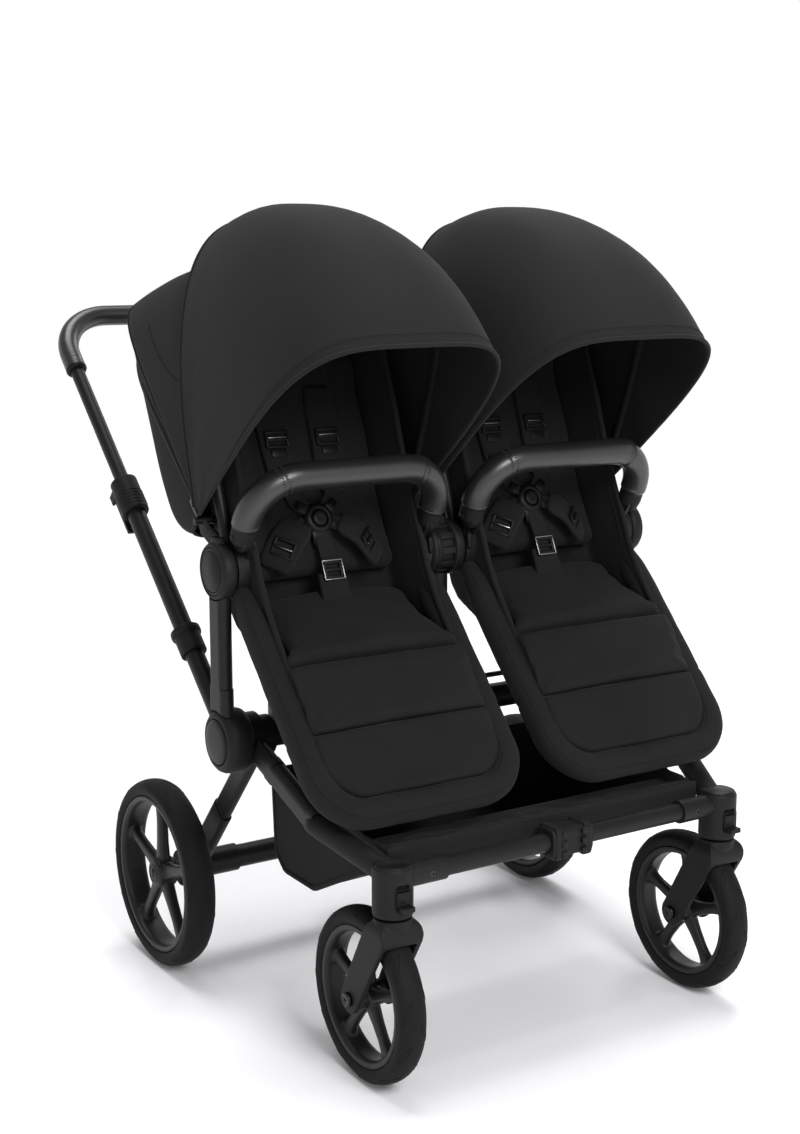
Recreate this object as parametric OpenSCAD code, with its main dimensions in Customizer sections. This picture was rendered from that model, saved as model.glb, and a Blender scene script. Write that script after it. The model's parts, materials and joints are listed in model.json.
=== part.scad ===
// Side by side double stroller: one chassis on two rear wheels and two casters carries two reclining seats.
// +X is to the right seen from the front, -Y is the way of travel, +Z is up, in millimetres.

/* [Overall] */
// Width over the rear tyres and the hub caps
overall_w = 740; // [730:1:760]
// Height of the fold axis above the floor
fold_z = 413; // [405:1:425]
// Running clearance of a shaft in its bore, on the radius
run_gap = 0.05; // [0.02:0.01:0.1]
// Gap between neighbours that only lie close together
near_gap = 0.3; // [0.2:0.1:0.6]

/* [Rear wheels] */
// Outer diameter of a rear tyre
rear_wheel_d = 289; // [270:1:295]
// Width of a rear tyre
rear_tyre_w = 46; // [40:1:48]
// Distance of the rear axle behind the fold axis
rear_axle_back = 234; // [225:1:245]
// Diameter of the rear axle tube
rear_axle_d = 36; // [30:1:40]
// Diameter of the stub axle that a rear wheel turns on
rear_stub_d = 12; // [10:1:14]

/* [Front wheels] */
// Outer diameter of a front tyre
front_wheel_d = 238; // [220:1:242]
// Width of a front tyre
front_tyre_w = 40; // [34:1:42]
// Distance of the caster stems ahead of the fold axis
stem_ahead = 323; // [315:1:335]
// Distance of a caster stem inwards of its front leg's middle
stem_inset = 38.8; // [36:0.1:48]
// Trail of the front axle behind the caster stem
trail = 59; // [50:1:64]
// Diameter of the caster stem pin
stem_d = 18; // [14:1:22]
// Diameter of the front axle bolt
front_axle_d = 10; // [8:1:12]
// Height of a wheel's tyre section from rim to tread
tyre_h = 21; // [16:1:24]
// Number of spokes of a wheel
spokes = 5; // [4:1:7]

/* [Chassis] */
// Diameter of the cross tube on the fold axis
cross_tube_d = 38; // [34:1:42]
// Diameter of the pivot that the rear legs turn on
pivot_d = 20; // [16:1:24]
// Diameter of a lower hub
hub_d = 92; // [84:1:100]
// Diameter of the inset cap of a lower hub
hub_cap_d = 64; // [50:1:70]
// Thickness of an upright across the stroller
upright_t = 21; // [18:1:24]
// Depth of an upright along the stroller
upright_d = 42; // [36:1:48]
// Width of a front leg tube
front_leg_w = 24; // [20:1:26]
// Height of a front leg tube
front_leg_h = 36; // [30:1:40]
// Slope of the front legs below the horizontal
front_leg_slope = 19.6; // [18:0.2:21]
// Width of a rear leg
rear_leg_w = 19; // [16:1:20]
// Depth of a rear leg
rear_leg_h = 36; // [30:1:40]
// Diameter of a caster post
post_d = 54; // [50:1:58]
// Height of the post's top above the floor
post_top_z = 319; // [314:1:324]
// Height of the post's foot above the floor
post_foot_z = 251; // [250:1:254]
// Diameter of the front crossbar
crossbar_d = 26; // [22:1:30]
// Height of the front crossbar above the floor
crossbar_z = 300; // [292:1:304]
// Diameter of the thin brace rod over the cross tube
brace_d = 8; // [6:1:10]

/* [Handle] */
// Slope of the handle tubes above the horizontal
handle_angle = 42.85; // [40:0.05:46]
// Distance of a handle tube's middle inside the overall width
handle_inset = 25; // [23:1:28]
// Diameter of a lower handle tube
sleeve_d = 28; // [26:1:30]
// Length from the fold axis to the top of a lower handle tube
sleeve_reach = 455; // [440:1:465]
// Diameter of the sliding upper tube
handle_tube_d = 22; // [18:1:24]
// Length from the fold axis to the middle of the push bar
handle_reach = 836; // [820:1:850]
// Diameter of the leather wrapped grip
grip_d = 33; // [28:1:36]
// Bend radius of the push bar's corners
handle_bend = 90; // [75:1:95]
// Travel of the push bar into the lower tubes
handle_in = 90; // [60:1:100]

/* [Seats] */
// Height of the footrest's bow above the front crossbar, from middle to middle
foot_above = 69.30935; // [66:0.00001:76]
// Width of the hub between the two seats
centre_hub_w = 60; // [54:1:66]
// Diameter of a seat hub
seat_hub_d = 82; // [78:1:84]
// Diameter of a seat pivot pin
seat_pin_d = 18; // [14:1:20]
// Thickness of the seat frame's side discs
seat_disc_t = 19; // [16:1:20]
// Diameter of the seat frame tube
seat_tube_d = 18; // [14:1:20]
// Diameter of the padded cover on the leg frame
leg_cover_d = 40; // [36:1:44]
// Slope of the leg frame below the horizontal
leg_slope = 47; // [44:1:50]
// Length of the leg frame from the pivot to its foot
leg_reach = 392; // [380:1:396]
// Length of the back frame from the pivot to its top
back_reach = 352; // [346:1:362]
// Lean of the backrest from the vertical
back_lean = 21.8; // [20:0.2:24]
// Thickness of the fabric bucket's walls
bucket_t = 7; // [5:1:8]
// Thickness of the back pad at its edge
back_pad_t = 30; // [24:1:34]
// Thickness of the seat pad at its edge
seat_pad_t = 30; // [24:1:34]
// Rise of the pads in the middle
pad_crown = 14; // [6:1:18]

/* [Canopies] */
// Distance of the canopy pivot behind the seat pivot
canopy_back = 55; // [50:1:62]
// Height of the canopy pivot above the seat pivot
canopy_up = 62; // [58:1:70]
// Radius of the front canopy over its pivot
canopy_r = 436; // [430:1:442]
// Radius of the front canopy's hem
hem_r = 393; // [385:1:400]
// How far a canopy stands out over the seat's side discs
canopy_over = 19.5; // [17.5:0.5:21.5]
// Widening of the front hem on each side
hem_flare = 9; // [5:1:10]
// Thickness of the canopy cloth with its lining
canopy_t = 5; // [4:0.5:6]
// Angle of the front hem above the way of travel
canopy_front_angle = 40; // [38:1:44]
// Distance of the rear panel's flat back from the canopy pivot
canopy_depth = 150; // [140:1:155]

/* [Bumper bars] */
// Diameter of a leather covered bumper bar
bumper_d = 34; // [28:1:36]
// Reach of a bumper bar from its pivots
bumper_reach = 95; // [90:1:105]
// Bend radius of a bumper bar's corners
bumper_bend = 68; // [60:1:75]
// Slope of a bumper bar above the way of travel
bumper_slope = 65; // [60:1:68]

/* [Harness] */
// Width of a shoulder pad
shoulder_pad_w = 40; // [34:1:46]
// Diameter of the round buckle
buckle_d = 46; // [40:1:52]
// Diameter of the buckle's button
button_d = 24; // [18:1:28]

/* [Basket] */
// Distance of the basket's sides inwards of the cross tube's ends
basket_in = 18.4; // [16.4:0.1:34.4]
// Thickness of the basket's cloth and stiffener
basket_t = 4; // [3:0.5:5]
// Depth of the basket floor below the fold axis
basket_depth = 205; // [190:1:215]

/* [Hidden] */
$fn = 64;
LEFT = -1;
RIGHT = 1;
over = 1;

// The fold axis lies where the whole object's box is centred on the origin
front_reach = stem_ahead - trail + front_wheel_d / 2;
back_of_grip = handle_reach * cos(handle_angle) + grip_d / 2;
fold_y = (front_reach - back_of_grip) / 2;

// Wheels
rear_r = rear_wheel_d / 2;
front_r = front_wheel_d / 2;
rear_x = overall_w / 2 - rear_tyre_w / 2;
rear_drop = fold_z - rear_r;
rear_leg_angle = atan2(-rear_drop, rear_axle_back);
rear_leg_len = norm([rear_axle_back, rear_drop]);
wheel_gap = 4;
rim_seat = 0.1;
fork_wall = 8;
fork_inner = front_tyre_w / 2 + wheel_gap;
fork_outer = fork_inner + fork_wall;
axle_head_t = 5;

// Layers from the outside of the frame to its inside, measured from the middle
side_x = overall_w / 2;
cap_proud = 3;
hub_out_x = side_x - cap_proud;
hub_in_x = hub_out_x - 36;
leg_gap = 1.2;
front_leg_out_x = hub_in_x - leg_gap;
front_leg_in_x = front_leg_out_x - front_leg_w;
front_leg_x = (front_leg_out_x + front_leg_in_x) / 2;
stem_x = front_leg_x - stem_inset;
handle_x = side_x - handle_inset;
rear_leg_out_x = front_leg_in_x - leg_gap;
rear_leg_in_x = rear_leg_out_x - rear_leg_w;
rear_leg_x = (rear_leg_out_x + rear_leg_in_x) / 2;
cross_half = rear_leg_in_x - leg_gap;
basket_half = cross_half - basket_in;
upright_in_x = hub_out_x - upright_t;

// Seats: each seat is centred between a side hub and the centre hub
seat_gap = 0.5;
seat_half = (upright_in_x - centre_hub_w / 2) / 2 - seat_gap;
seat_x = (upright_in_x + centre_hub_w / 2) / 2;
disc_in = seat_half - seat_disc_t;
rail_half = seat_half - seat_disc_t / 2;
seat_disc_r = seat_hub_d / 2 - 3;
seat_pin_len = seat_disc_t - 1;
leg_cover_start = 78;
back_angle = 90 - back_lean;
leg_angle = 180 + leg_slope;
canopy_half = seat_half + canopy_over;
bucket_half = disc_in - near_gap;
pad_half = bucket_half - bucket_t - near_gap;
seat_rise = crossbar_z + foot_above + leg_reach * sin(leg_slope) - fold_z;
seat_z = fold_z + seat_rise;

// Backrest line through the seat: distance behind the pivot at a height above it
back_y0 = 21;
function back_y(z) = back_y0 + tan(back_lean) * z;
back_top = 296;
back_foot = -34;

// Seat surface from the foot of the back to the lip of the footrest
// Each point: behind the pivot, above it, share of the crown
seat_top_line = [[2, -52, 0.3], [-30, -66, 0.8], [-70, -80, 1], [-112, -95, 1], [-142, -108, 0.9]];
knee = [-160, -124];

// The footrest ends a little behind and below the middle of the leg frame's bow
lip_behind = 25.3434;
lip_below = 3.3093;
lip = [lip_behind - leg_reach * cos(leg_slope), -lip_below - leg_reach * sin(leg_slope)];

// Each point: way forwards from the knee, way down, share of the crown; the last one is the lip
footrest_line = [
    [0, 0, 0.25], [12, 22, 0.75], [27, 48, 0.8], [39, 70, 0.2],
    [48, 92, 0.7], [60, 120, 0.7], [72, 146, 0.5], [82, 166, 0.2]
];
footrest_end = footrest_line[len(footrest_line) - 1];
seat_line = concat(seat_top_line, [
    for (p = footrest_line) [
        knee[0] + (lip[0] - knee[0]) * p[0] / footrest_end[0],
        knee[1] + (lip[1] - knee[1]) * p[1] / footrest_end[1],
        p[2]
    ]
]);

// Bumper and canopy pivots, behind and above the seat pivot
bumper_back = -36;
bumper_up = 47;
bumper_eye_t = 12;
bumper_pin_d = 10;
lug_t = 6;
bumper_half = disc_in + lug_t + near_gap + bumper_eye_t / 2;
canopy_pin_d = 10;
canopy_eye_d = 44;
canopy_nest = 4;
canopy_rear_half = canopy_half - canopy_t - canopy_nest;

module on(side) {
    if (side > 0) children();
    else mirror([1, 0, 0]) children();
}

module both() {
    on(RIGHT) children();
    on(LEFT) children();
}

module at_fold() {
    translate([0, fold_y, fold_z]) children();
}

module at_seat(side) {
    translate([side * seat_x, fold_y, seat_z]) children();
}

// Turns +Z to a direction in the side view: 0 is backwards, 90 is up, 180 is the way of travel
module along(angle) {
    rotate([angle - 90, 0, 0]) children();
}

// A solid turned about X, from x0 to x1
module disc(d, x0, x1) {
    translate([x0, 0, 0])
        rotate([0, 90, 0])
            cylinder(d = d, h = x1 - x0);
}

// A side view outline, drawn as points behind and above, from x0 to x1
module plate(x0, x1) {
    translate([x0, 0, 0])
        rotate([90, 0, 90])
            linear_extrude(x1 - x0)
                children();
}

// A flat oval tube along +Z, wide in X and deep in Y
module oval_tube(w, d, z0, z1) {
    translate([0, 0, z0])
        linear_extrude(z1 - z0)
            union() {
                square([w, d - w], center = true);
                for (s = [-1, 1])
                    translate([0, s * (d - w) / 2])
                        circle(d = w);
            }
}

// A tube bent to a U in the XZ plane, open towards -Z
module u_tube(half, start, reach, bend, d) {
    for (s = [-1, 1]) {
        translate([s * half, 0, start])
            cylinder(d = d, h = reach - bend - start);
        u_corner(s, half, reach, bend, d);
    }
    translate([bend - half, 0, reach])
        rotate([0, 90, 0])
            cylinder(d = d, h = 2 * (half - bend));
}

module u_corner(s, half, reach, bend, d) {
    translate([s * (half - bend), 0, reach - bend])
        rotate([90, 0, 0])
            rotate([0, 0, s > 0 ? 0 : 90])
                rotate_extrude(angle = 90)
                    translate([bend, 0])
                        circle(d = d);
}

// Faces of a closed sheet: an outer and an inner grid of n rows and m columns, joined round the edge
function sheet_faces(n, m) = let (k = n * m) concat(
    [for (i = [0 : n - 2], j = [0 : m - 2])
        let (a = i * m + j)
        each [[a, a + m + 1, a + m], [a, a + 1, a + m + 1]]],
    [for (i = [0 : n - 2], j = [0 : m - 2])
        let (a = k + i * m + j)
        each [[a, a + m, a + m + 1], [a, a + m + 1, a + 1]]],
    [for (j = [0 : m - 2])
        let (a = j, b = (n - 1) * m + j)
        each [[a, k + a + 1, a + 1], [a, k + a, k + a + 1],
              [b, b + 1, k + b + 1], [b, k + b + 1, k + b]]],
    [for (i = [0 : n - 2])
        let (a = i * m, b = i * m + m - 1)
        each [[a, a + m, k + a + m], [a, k + a + m, k + a],
              [b, k + b + m, b + m], [b, k + b, k + b + m]]]
);

module sheet(outer, inner) {
    polyhedron(
        points = concat([for (row = outer) each row], [for (row = inner) each row]),
        faces = sheet_faces(len(outer), len(outer[0]))
    );
}

// Front frame

module front_leg_solid() {
    at_fold()
        translate([front_leg_x, 0, 0])
            along(180 + front_leg_slope) {
                oval_tube(front_leg_w, front_leg_h, 20, leg_to_corner);
                for (z = [leg_collar_1, leg_collar_2])
                    oval_tube(front_leg_w, front_leg_h + 4, z, z + 14);
            }
    at_fold()
        disc(front_boss_d, front_leg_in_x, front_leg_out_x);
}

front_boss_d = 72;
leg_collar_1 = 78;
leg_collar_2 = 196;
leg_to_corner = 210;
corner_d = 34;
elbow_from = [
    front_leg_x,
    -cos(front_leg_slope) * leg_to_corner,
    -sin(front_leg_slope) * leg_to_corner
];
elbow_to = [stem_x, -stem_ahead + post_d / 4, crossbar_z - fold_z + 4];

module front_legs() {
    color("#1b1b1c")
        both()
            difference() {
                front_leg_solid();
                at_fold()
                    disc(pivot_d + 2 * run_gap, front_leg_in_x - over, front_leg_out_x + over);
            }
}

// A rod with a round end from one point to the other
module strut(from, to, d) {
    v = to - from;
    translate(from)
        rotate([0, acos(v.z / norm(v)), atan2(v.y, v.x)])
            cylinder(d = d, h = norm(v));
    translate(from)
        sphere(d = d);
}

lock_w = 18;
lock_t = 9;
lock_h = 24;
lock_travel = 8;
lock_z = post_foot_z + 14;
lock_face = post_d / 2 - lock_t;

module front_corners() {
    color("#161617")
        both()
            difference() {
                union() {
                    at_fold()
                        strut(elbow_from, elbow_to, corner_d);
                    translate([stem_x, fold_y - stem_ahead, post_foot_z])
                        post_solid();
                }
                at_fold()
                    translate([front_leg_x, 0, 0])
                        along(180 + front_leg_slope)
                            oval_tube(front_leg_w + 2 * near_gap, front_leg_h + 4 + 2 * near_gap,
                                      leg_collar_2 - corner_d, leg_to_corner + near_gap / 2);
                translate([stem_x, fold_y - stem_ahead, post_foot_z - over])
                    cylinder(d = stem_d + 2 * run_gap, h = stem_len + over + 1);
                translate([stem_x - lock_w / 2 - near_gap, fold_y - stem_ahead - post_d, lock_z - near_gap])
                    cube([lock_w + 2 * near_gap, post_d - lock_face, lock_h + lock_travel + 2 * near_gap]);
            }
}

stem_len = 44;
post_round = 5;

module post_solid() {
    rotate_extrude()
        polygon(concat(
            [[0, 0], [post_d / 2 - 2, 0], [post_d / 2, 2]],
            [for (a = [0 : 15 : 90])
                [post_d / 2 - post_round + post_round * cos(a),
                 post_top_z - post_foot_z - post_round + post_round * sin(a)]],
            [[0, post_top_z - post_foot_z]]
        ));
}

sleeve_len = 50;
crossbar_end = stem_x - post_d / 2;
screw_d = 4;
screw_head_d = 9;
screw_head_t = 3;
screw_x = crossbar_end - sleeve_len / 2;

module at_crossbar() {
    translate([0, fold_y - stem_ahead, crossbar_z]) children();
}

module front_crossbar() {
    color("#1a1a1b")
        difference() {
            at_crossbar() {
                disc(crossbar_d, -stem_x, stem_x);
                both()
                    disc(crossbar_d + 7, crossbar_end - sleeve_len, stem_x);
            }
            both()
                translate([stem_x, fold_y - stem_ahead, 0])
                    cylinder(d = post_d + 2 * rim_seat, h = fold_z);
            both()
                at_crossbar()
                    translate([screw_x, 0, 0])
                        rotate([90, 0, 0]) {
                            cylinder(d = screw_d, h = crossbar_d);
                            translate([0, 0, crossbar_d / 2])
                                cylinder(d = screw_head_d + 2 * near_gap, h = crossbar_d);
                        }
        }
}

clasp_half = 34;
clasp_h = 40;
clasp_t = 36;

module crossbar_clasp() {
    color("#121213")
        at_crossbar()
            difference() {
                union() {
                    plate(-clasp_half, clasp_half)
                        rounded_square(clasp_t, clasp_h, 9);
                    both()
                        plate(clasp_half - 16, clasp_half - 4)
                            rounded_square(clasp_t + 6, clasp_h + 6, 8);
                }
                disc(crossbar_d + 2 * rim_seat, -stem_x, stem_x);
            }
}

// A rectangle with round corners, centred
module rounded_square(w, h, r) {
    union() {
        square([w - 2 * r, h], center = true);
        square([w, h - 2 * r], center = true);
        for (sx = [-1, 1], sy = [-1, 1])
            translate([sx * (w / 2 - r), sy * (h / 2 - r)])
                circle(r = r);
    }
}

module screws() {
    color("#2a2a2b")
        both()
            at_crossbar()
                translate([screw_x, 0, 0])
                    rotate([90, 0, 0])
                        screw();
}

// A button head screw that leaves along +Z
module screw() {
    translate([0, 0, 2])
        cylinder(d = screw_d - 2 * run_gap, h = crossbar_d / 2 - 2);
    translate([0, 0, crossbar_d / 2])
        difference() {
            cylinder(d = screw_head_d, h = screw_head_t);
            translate([0, 0, screw_head_t - 1.5])
                cylinder(d = 4, h = 2, $fn = 6);
        }
}

// Casters

stem_top = post_foot_z + stem_len;
crown_top = post_foot_z - 2.6;

module fork(side) {
    color("#161617")
        on(side)
            translate([stem_x, fold_y - stem_ahead, 0])
                difference() {
                    union() {
                        intersection() {
                            fork_side_view();
                            fork_front_view();
                        }
                        translate([0, 0, crown_top - 12])
                            cylinder(d = post_d - 3, h = 12);
                        translate([0, 0, crown_top - 4])
                            cylinder(d = stem_d, h = stem_top - crown_top + 4);
                    }
                    translate([0, trail, front_r]) {
                        disc(front_wheel_d + 2 * wheel_gap, -fork_inner, fork_inner);
                        disc(front_axle_d + 2 * run_gap, -post_d, post_d);
                    }
                }
}

fork_end_d = 40;
fork_top_d = 46;

// Crown and legs seen from the side, as a solid across the wheel
module fork_side_view() {
    plate(-fork_outer, fork_outer)
        hull() {
            translate([-2, crown_top - fork_top_d / 2])
                circle(d = fork_top_d);
            translate([trail, front_r])
                circle(d = fork_end_d);
        }
}

// Arched outline of the fork seen from the front
module fork_front_view() {
    arch = fork_outer * 0.6;
    translate([0, post_d + trail, 0])
        rotate([90, 0, 0])
            linear_extrude(2 * (post_d + trail))
                union() {
                    translate([-fork_outer, 0])
                        square([2 * fork_outer, crown_top - arch]);
                    translate([arch - fork_outer, 0])
                        square([2 * (fork_outer - arch), crown_top]);
                    for (s = [-1, 1])
                        translate([s * (fork_outer - arch), crown_top - arch])
                            circle(r = arch);
                }
}

module front_axle(side) {
    color("#2b2b2c")
        on(side)
            translate([stem_x, fold_y - stem_ahead + trail, front_r]) {
                disc(front_axle_d, -fork_outer, fork_outer);
                for (s = [-1, 1])
                    on(s)
                        difference() {
                            disc(front_axle_d + 8, fork_outer, fork_outer + axle_head_t);
                            translate([fork_outer + axle_head_t - 2, 0, 0])
                                rotate([0, 90, 0])
                                    cylinder(d = 6, h = 3, $fn = 6);
                        }
            }
}

// A spoked rim about X, with a hub bored for its axle
module rim(d, w, bore, hub_d, hub_w) {
    lip = w / 2 - 2;
    rotate([0, 90, 0])
        rotate_extrude()
            polygon([
                [d / 2 - 10, -lip], [d / 2, -lip], [d / 2 - 3, -lip + 4], [d / 2 - 3, lip - 4],
                [d / 2, lip], [d / 2 - 10, lip], [d / 2 - 13, lip - 6], [d / 2 - 13, 6 - lip]
            ]);
    difference() {
        union() {
            disc(hub_d, -hub_w / 2, hub_w / 2);
            for (n = [0 : spokes - 1])
                rotate([n * 360 / spokes, 0, 0])
                    spoke(d / 2 - 11, hub_d / 2, w);
        }
        disc(bore, -hub_w, hub_w);
    }
}

spoke_root_share = 0.5;
spoke_tip_w = 17;

module spoke(to_r, from_r, w) {
    plate(-w * 0.2, w * 0.2)
        polygon([
            [-from_r * spoke_root_share, from_r / 2], [from_r * spoke_root_share, from_r / 2],
            [spoke_tip_w / 2, (from_r + to_r) / 2], [spoke_tip_w / 2 + 5, to_r],
            [-spoke_tip_w / 2 - 5, to_r], [-spoke_tip_w / 2, (from_r + to_r) / 2]
        ]);
}

// A tyre about X with a round tread, seated on the rim's well
module tyre(d, w) {
    base = d / 2 - tyre_h + rim_seat;
    lip = w / 2 - 2;
    rotate([0, 90, 0])
        rotate_extrude()
            polygon(concat(
                [[base - 3, -lip + 4 + rim_seat], [base, -lip]],
                [for (a = [-90 : 15 : 90])
                    [d / 2 - tyre_h * 0.62 + tyre_h * 0.62 * cos(a), w / 2 * sin(a)]],
                [[base, lip], [base - 3, lip - 4 - rim_seat]]
            ));
}

module at_front_wheel(side) {
    on(side)
        translate([stem_x, fold_y - stem_ahead + trail, front_r])
            children();
}

module front_rim(side) {
    color("#151516")
        at_front_wheel(side)
            rim(front_wheel_d - 2 * tyre_h, front_tyre_w, front_axle_d + 2 * run_gap, 34, 2 * fork_inner - 2);
}

module front_tyre(side) {
    color("#1e1e1f")
        at_front_wheel(side)
            tyre(front_wheel_d, front_tyre_w);
}

module swivel_lock(side) {
    color("#0f0f10")
        on(side)
            translate([stem_x - lock_w / 2, fold_y - stem_ahead - post_d / 2, lock_z]) {
                cube([lock_w, lock_t - near_gap, lock_h]);
                translate([0, -lock_tab, 0])
                    cube([lock_w, lock_tab + over, 7]);
            }
}

lock_tab = 13;

// Rear frame

module at_rear_axle() {
    at_fold()
        translate([0, rear_axle_back, -rear_drop])
            children();
}

rear_boss_d = 58;
rear_sleeve_z = 196;
rear_foot_d = 56;
rear_foot_out_x = rear_x - rear_tyre_w / 2 - 5;

module rear_legs() {
    color("#171718")
        both()
            difference() {
                union() {
                    at_fold()
                        disc(rear_boss_d, rear_leg_in_x, rear_leg_out_x);
                    at_fold()
                        translate([rear_leg_x, 0, 0])
                            along(rear_leg_angle) {
                                oval_tube(rear_leg_w - 3, rear_leg_h, 16, rear_leg_len - 16);
                                oval_tube(rear_leg_w - 1, rear_leg_h + 6, rear_sleeve_z, rear_leg_len - 20);
                            }
                    at_rear_axle()
                        disc(rear_foot_d, rear_leg_in_x, rear_foot_out_x);
                }
                at_fold()
                    disc(pivot_d + 2 * run_gap, rear_leg_in_x - over, rear_leg_out_x + over);
                at_rear_axle()
                    disc(rear_stub_d + 2 * run_gap, 0, side_x);
            }
}

rear_stub_end = side_x - 9;

module rear_axle() {
    color("#1a1a1b")
        at_rear_axle() {
            disc(rear_axle_d, -rear_leg_in_x, rear_leg_in_x);
            disc(rear_stub_d, -rear_stub_end, rear_stub_end);
            both()
                disc(rear_axle_d + 7, rear_leg_in_x - 62, rear_leg_in_x);
        }
}

pedal_half = 34;
pedal_len = 62;

module brake_pedal() {
    color("#101011")
        at_rear_axle()
            difference() {
                union() {
                    disc(rear_axle_d + 16, -pedal_half, pedal_half);
                    plate(-pedal_half, pedal_half)
                        union() {
                            translate([0, -6])
                                square([pedal_len - 7, 14]);
                            translate([pedal_len - 7, 1])
                                circle(d = 14);
                        }
                }
                disc(rear_axle_d + 2 * run_gap, -side_x, side_x);
            }
}

module at_rear_wheel(side) {
    on(side)
        translate([rear_x, fold_y + rear_axle_back, rear_r])
            children();
}

rear_cap_d = 44;

module rear_rim(side) {
    color("#151516")
        at_rear_wheel(side) {
            rim(rear_wheel_d - 2 * tyre_h, rear_tyre_w, rear_stub_d + 2 * run_gap, 46, rear_tyre_w - 12);
            difference() {
                disc(rear_cap_d, rear_tyre_w / 2 - 7, rear_tyre_w / 2 - 2);
                disc(rear_stub_d + 2 * run_gap, 0, rear_tyre_w / 2 - 4);
            }
        }
}

module rear_tyre(side) {
    color("#1e1e1f")
        at_rear_wheel(side)
            tyre(rear_wheel_d, rear_tyre_w);
}

// Hubs and uprights

hub_floor = 8;
pivot_half = hub_out_x - hub_floor - near_gap / 2;

module lower_hubs() {
    color("#131314")
        both()
            at_fold()
                difference() {
                    disc(hub_d, hub_in_x, hub_out_x);
                    disc(hub_cap_d + 2 * rim_seat, hub_out_x - 4, side_x);
                    disc(pivot_d + 2 * run_gap, hub_in_x - over, hub_out_x - hub_floor);
                }
}

module lower_hub_caps() {
    color("#1d1d1e")
        both()
            at_fold()
                difference() {
                    disc(hub_cap_d, hub_out_x - 4, side_x);
                    difference() {
                        disc(hub_cap_d - 12, side_x - 1.2, side_x + over);
                        disc(hub_cap_d - 18, side_x - 2, side_x + 2 * over);
                    }
                }
}

upright_x = (upright_in_x + hub_out_x) / 2;
upright_sleeve_z = 78;

module uprights() {
    color("#191919")
        both()
            at_fold()
                difference() {
                    translate([upright_x, 0, 0]) {
                        oval_tube(upright_t, upright_d, 0, seat_rise);
                        oval_tube(upright_t, upright_d + 5, 0, upright_sleeve_z);
                    }
                    disc(hub_d + 2 * rim_seat, 0, 2 * side_x);
                    translate([0, 0, seat_rise])
                        disc(seat_hub_d + 2 * rim_seat, 0, 2 * side_x);
                    translate([handle_x, 0, 0])
                        along(handle_angle)
                            cylinder(d = sleeve_d + 2 * near_gap, h = hub_d);
                }
}

seat_cap_d = 62;

module side_seat_hubs() {
    color("#141415")
        both()
            translate([0, fold_y, seat_z]) {
                difference() {
                    disc(seat_hub_d, upright_in_x, hub_out_x);
                    difference() {
                        disc(seat_cap_d, hub_out_x - 2, hub_out_x + over);
                        disc(seat_cap_d - 5, hub_out_x - 3, hub_out_x + 2 * over);
                    }
                }
                disc(seat_pin_d, upright_in_x - seat_pin_len, upright_in_x + over);
                disc(seat_cap_d - 14, hub_out_x - over, side_x);
            }
}

post_w = 30;
post_depth = 40;
post_saddle = 14;

module centre_post() {
    color("#191919")
        at_fold()
            difference() {
                union() {
                    oval_tube(post_w, post_depth, 0, seat_rise);
                    disc(cross_tube_d + post_saddle, -post_w / 2 - 10, post_w / 2 + 10);
                }
                disc(cross_tube_d + 2 * rim_seat, -side_x, side_x);
                translate([0, 0, brace_up])
                    disc(brace_d + 2 * rim_seat, -side_x, side_x);
                translate([0, 0, seat_rise])
                    disc(seat_hub_d + 2 * rim_seat, -side_x, side_x);
            }
}

module centre_hub() {
    half = centre_hub_w / 2;
    color("#141415")
        translate([0, fold_y, seat_z]) {
            difference() {
                disc(seat_hub_d, -half, half);
                both()
                    difference() {
                        disc(seat_hub_d + over, half / 3, half / 3 + 4);
                        disc(seat_hub_d - 5, 0, half);
                    }
            }
            both()
                disc(seat_pin_d, half - over, half + seat_pin_len);
        }
}

module cross_tube() {
    color("#171718")
        at_fold() {
            disc(cross_tube_d, -cross_half, cross_half);
            disc(pivot_d, -pivot_half, pivot_half);
        }
}

brace_rise = 15;
brace_in = 6;
brace_block = 24;
brace_cap = 8;
brace_up = cross_tube_d / 2 + brace_rise;
brace_half = cross_half - brace_in;

module brace_rod() {
    color("#232324")
        at_fold()
            difference() {
                union() {
                    translate([0, 0, brace_up])
                        disc(brace_d, -brace_half, brace_half);
                    both()
                        translate([brace_half - brace_block, -brace_block / 2, 0])
                            cube([brace_block, brace_block, brace_up + brace_cap]);
                }
                disc(cross_tube_d + 2 * rim_seat, -side_x, side_x);
            }
}

// Handle

module at_handle(side) {
    on(side)
        at_fold()
            translate([handle_x, 0, 0])
                along(handle_angle)
                    children();
}

tube_overlap = 190;
sleeve_floor = sleeve_reach - tube_overlap - handle_in - 10;

module handle_sleeves() {
    color("#191919")
        both()
            difference() {
                at_handle(RIGHT)
                    difference() {
                        cylinder(d = sleeve_d, h = sleeve_reach);
                        translate([0, 0, sleeve_floor])
                            cylinder(d = handle_tube_d + 2 * run_gap, h = sleeve_reach);
                    }
                at_fold()
                    disc(hub_d + 2 * rim_seat, 0, 2 * side_x);
            }
}

slider_z = 150;
slider_len = 42;

module fold_sliders() {
    color("#101011")
        both()
            at_handle(RIGHT)
                translate([0, 0, slider_z])
                    difference() {
                        union() {
                            cylinder(d = sleeve_d + 11, h = slider_len);
                            translate([0, 0, slider_len - 10])
                                cylinder(d = sleeve_d + 17, h = 10);
                        }
                        translate([0, 0, -over])
                            cylinder(d = sleeve_d + 2 * run_gap, h = slider_len + 2 * over);
                    }
}

clamp_d = sleeve_d + 14;
clamp_z = sleeve_reach - 40;
clamp_len = 62;
clamp_top = clamp_z + clamp_len;
lever_w = 18;
lever_t = 9;
lever_pin_d = 6;
lever_pin_z = clamp_top - 9;
lever_out = clamp_d / 2 + 8;
ear_t = 5;
ear_x = lever_w / 2 + near_gap + ear_t / 2;

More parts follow.
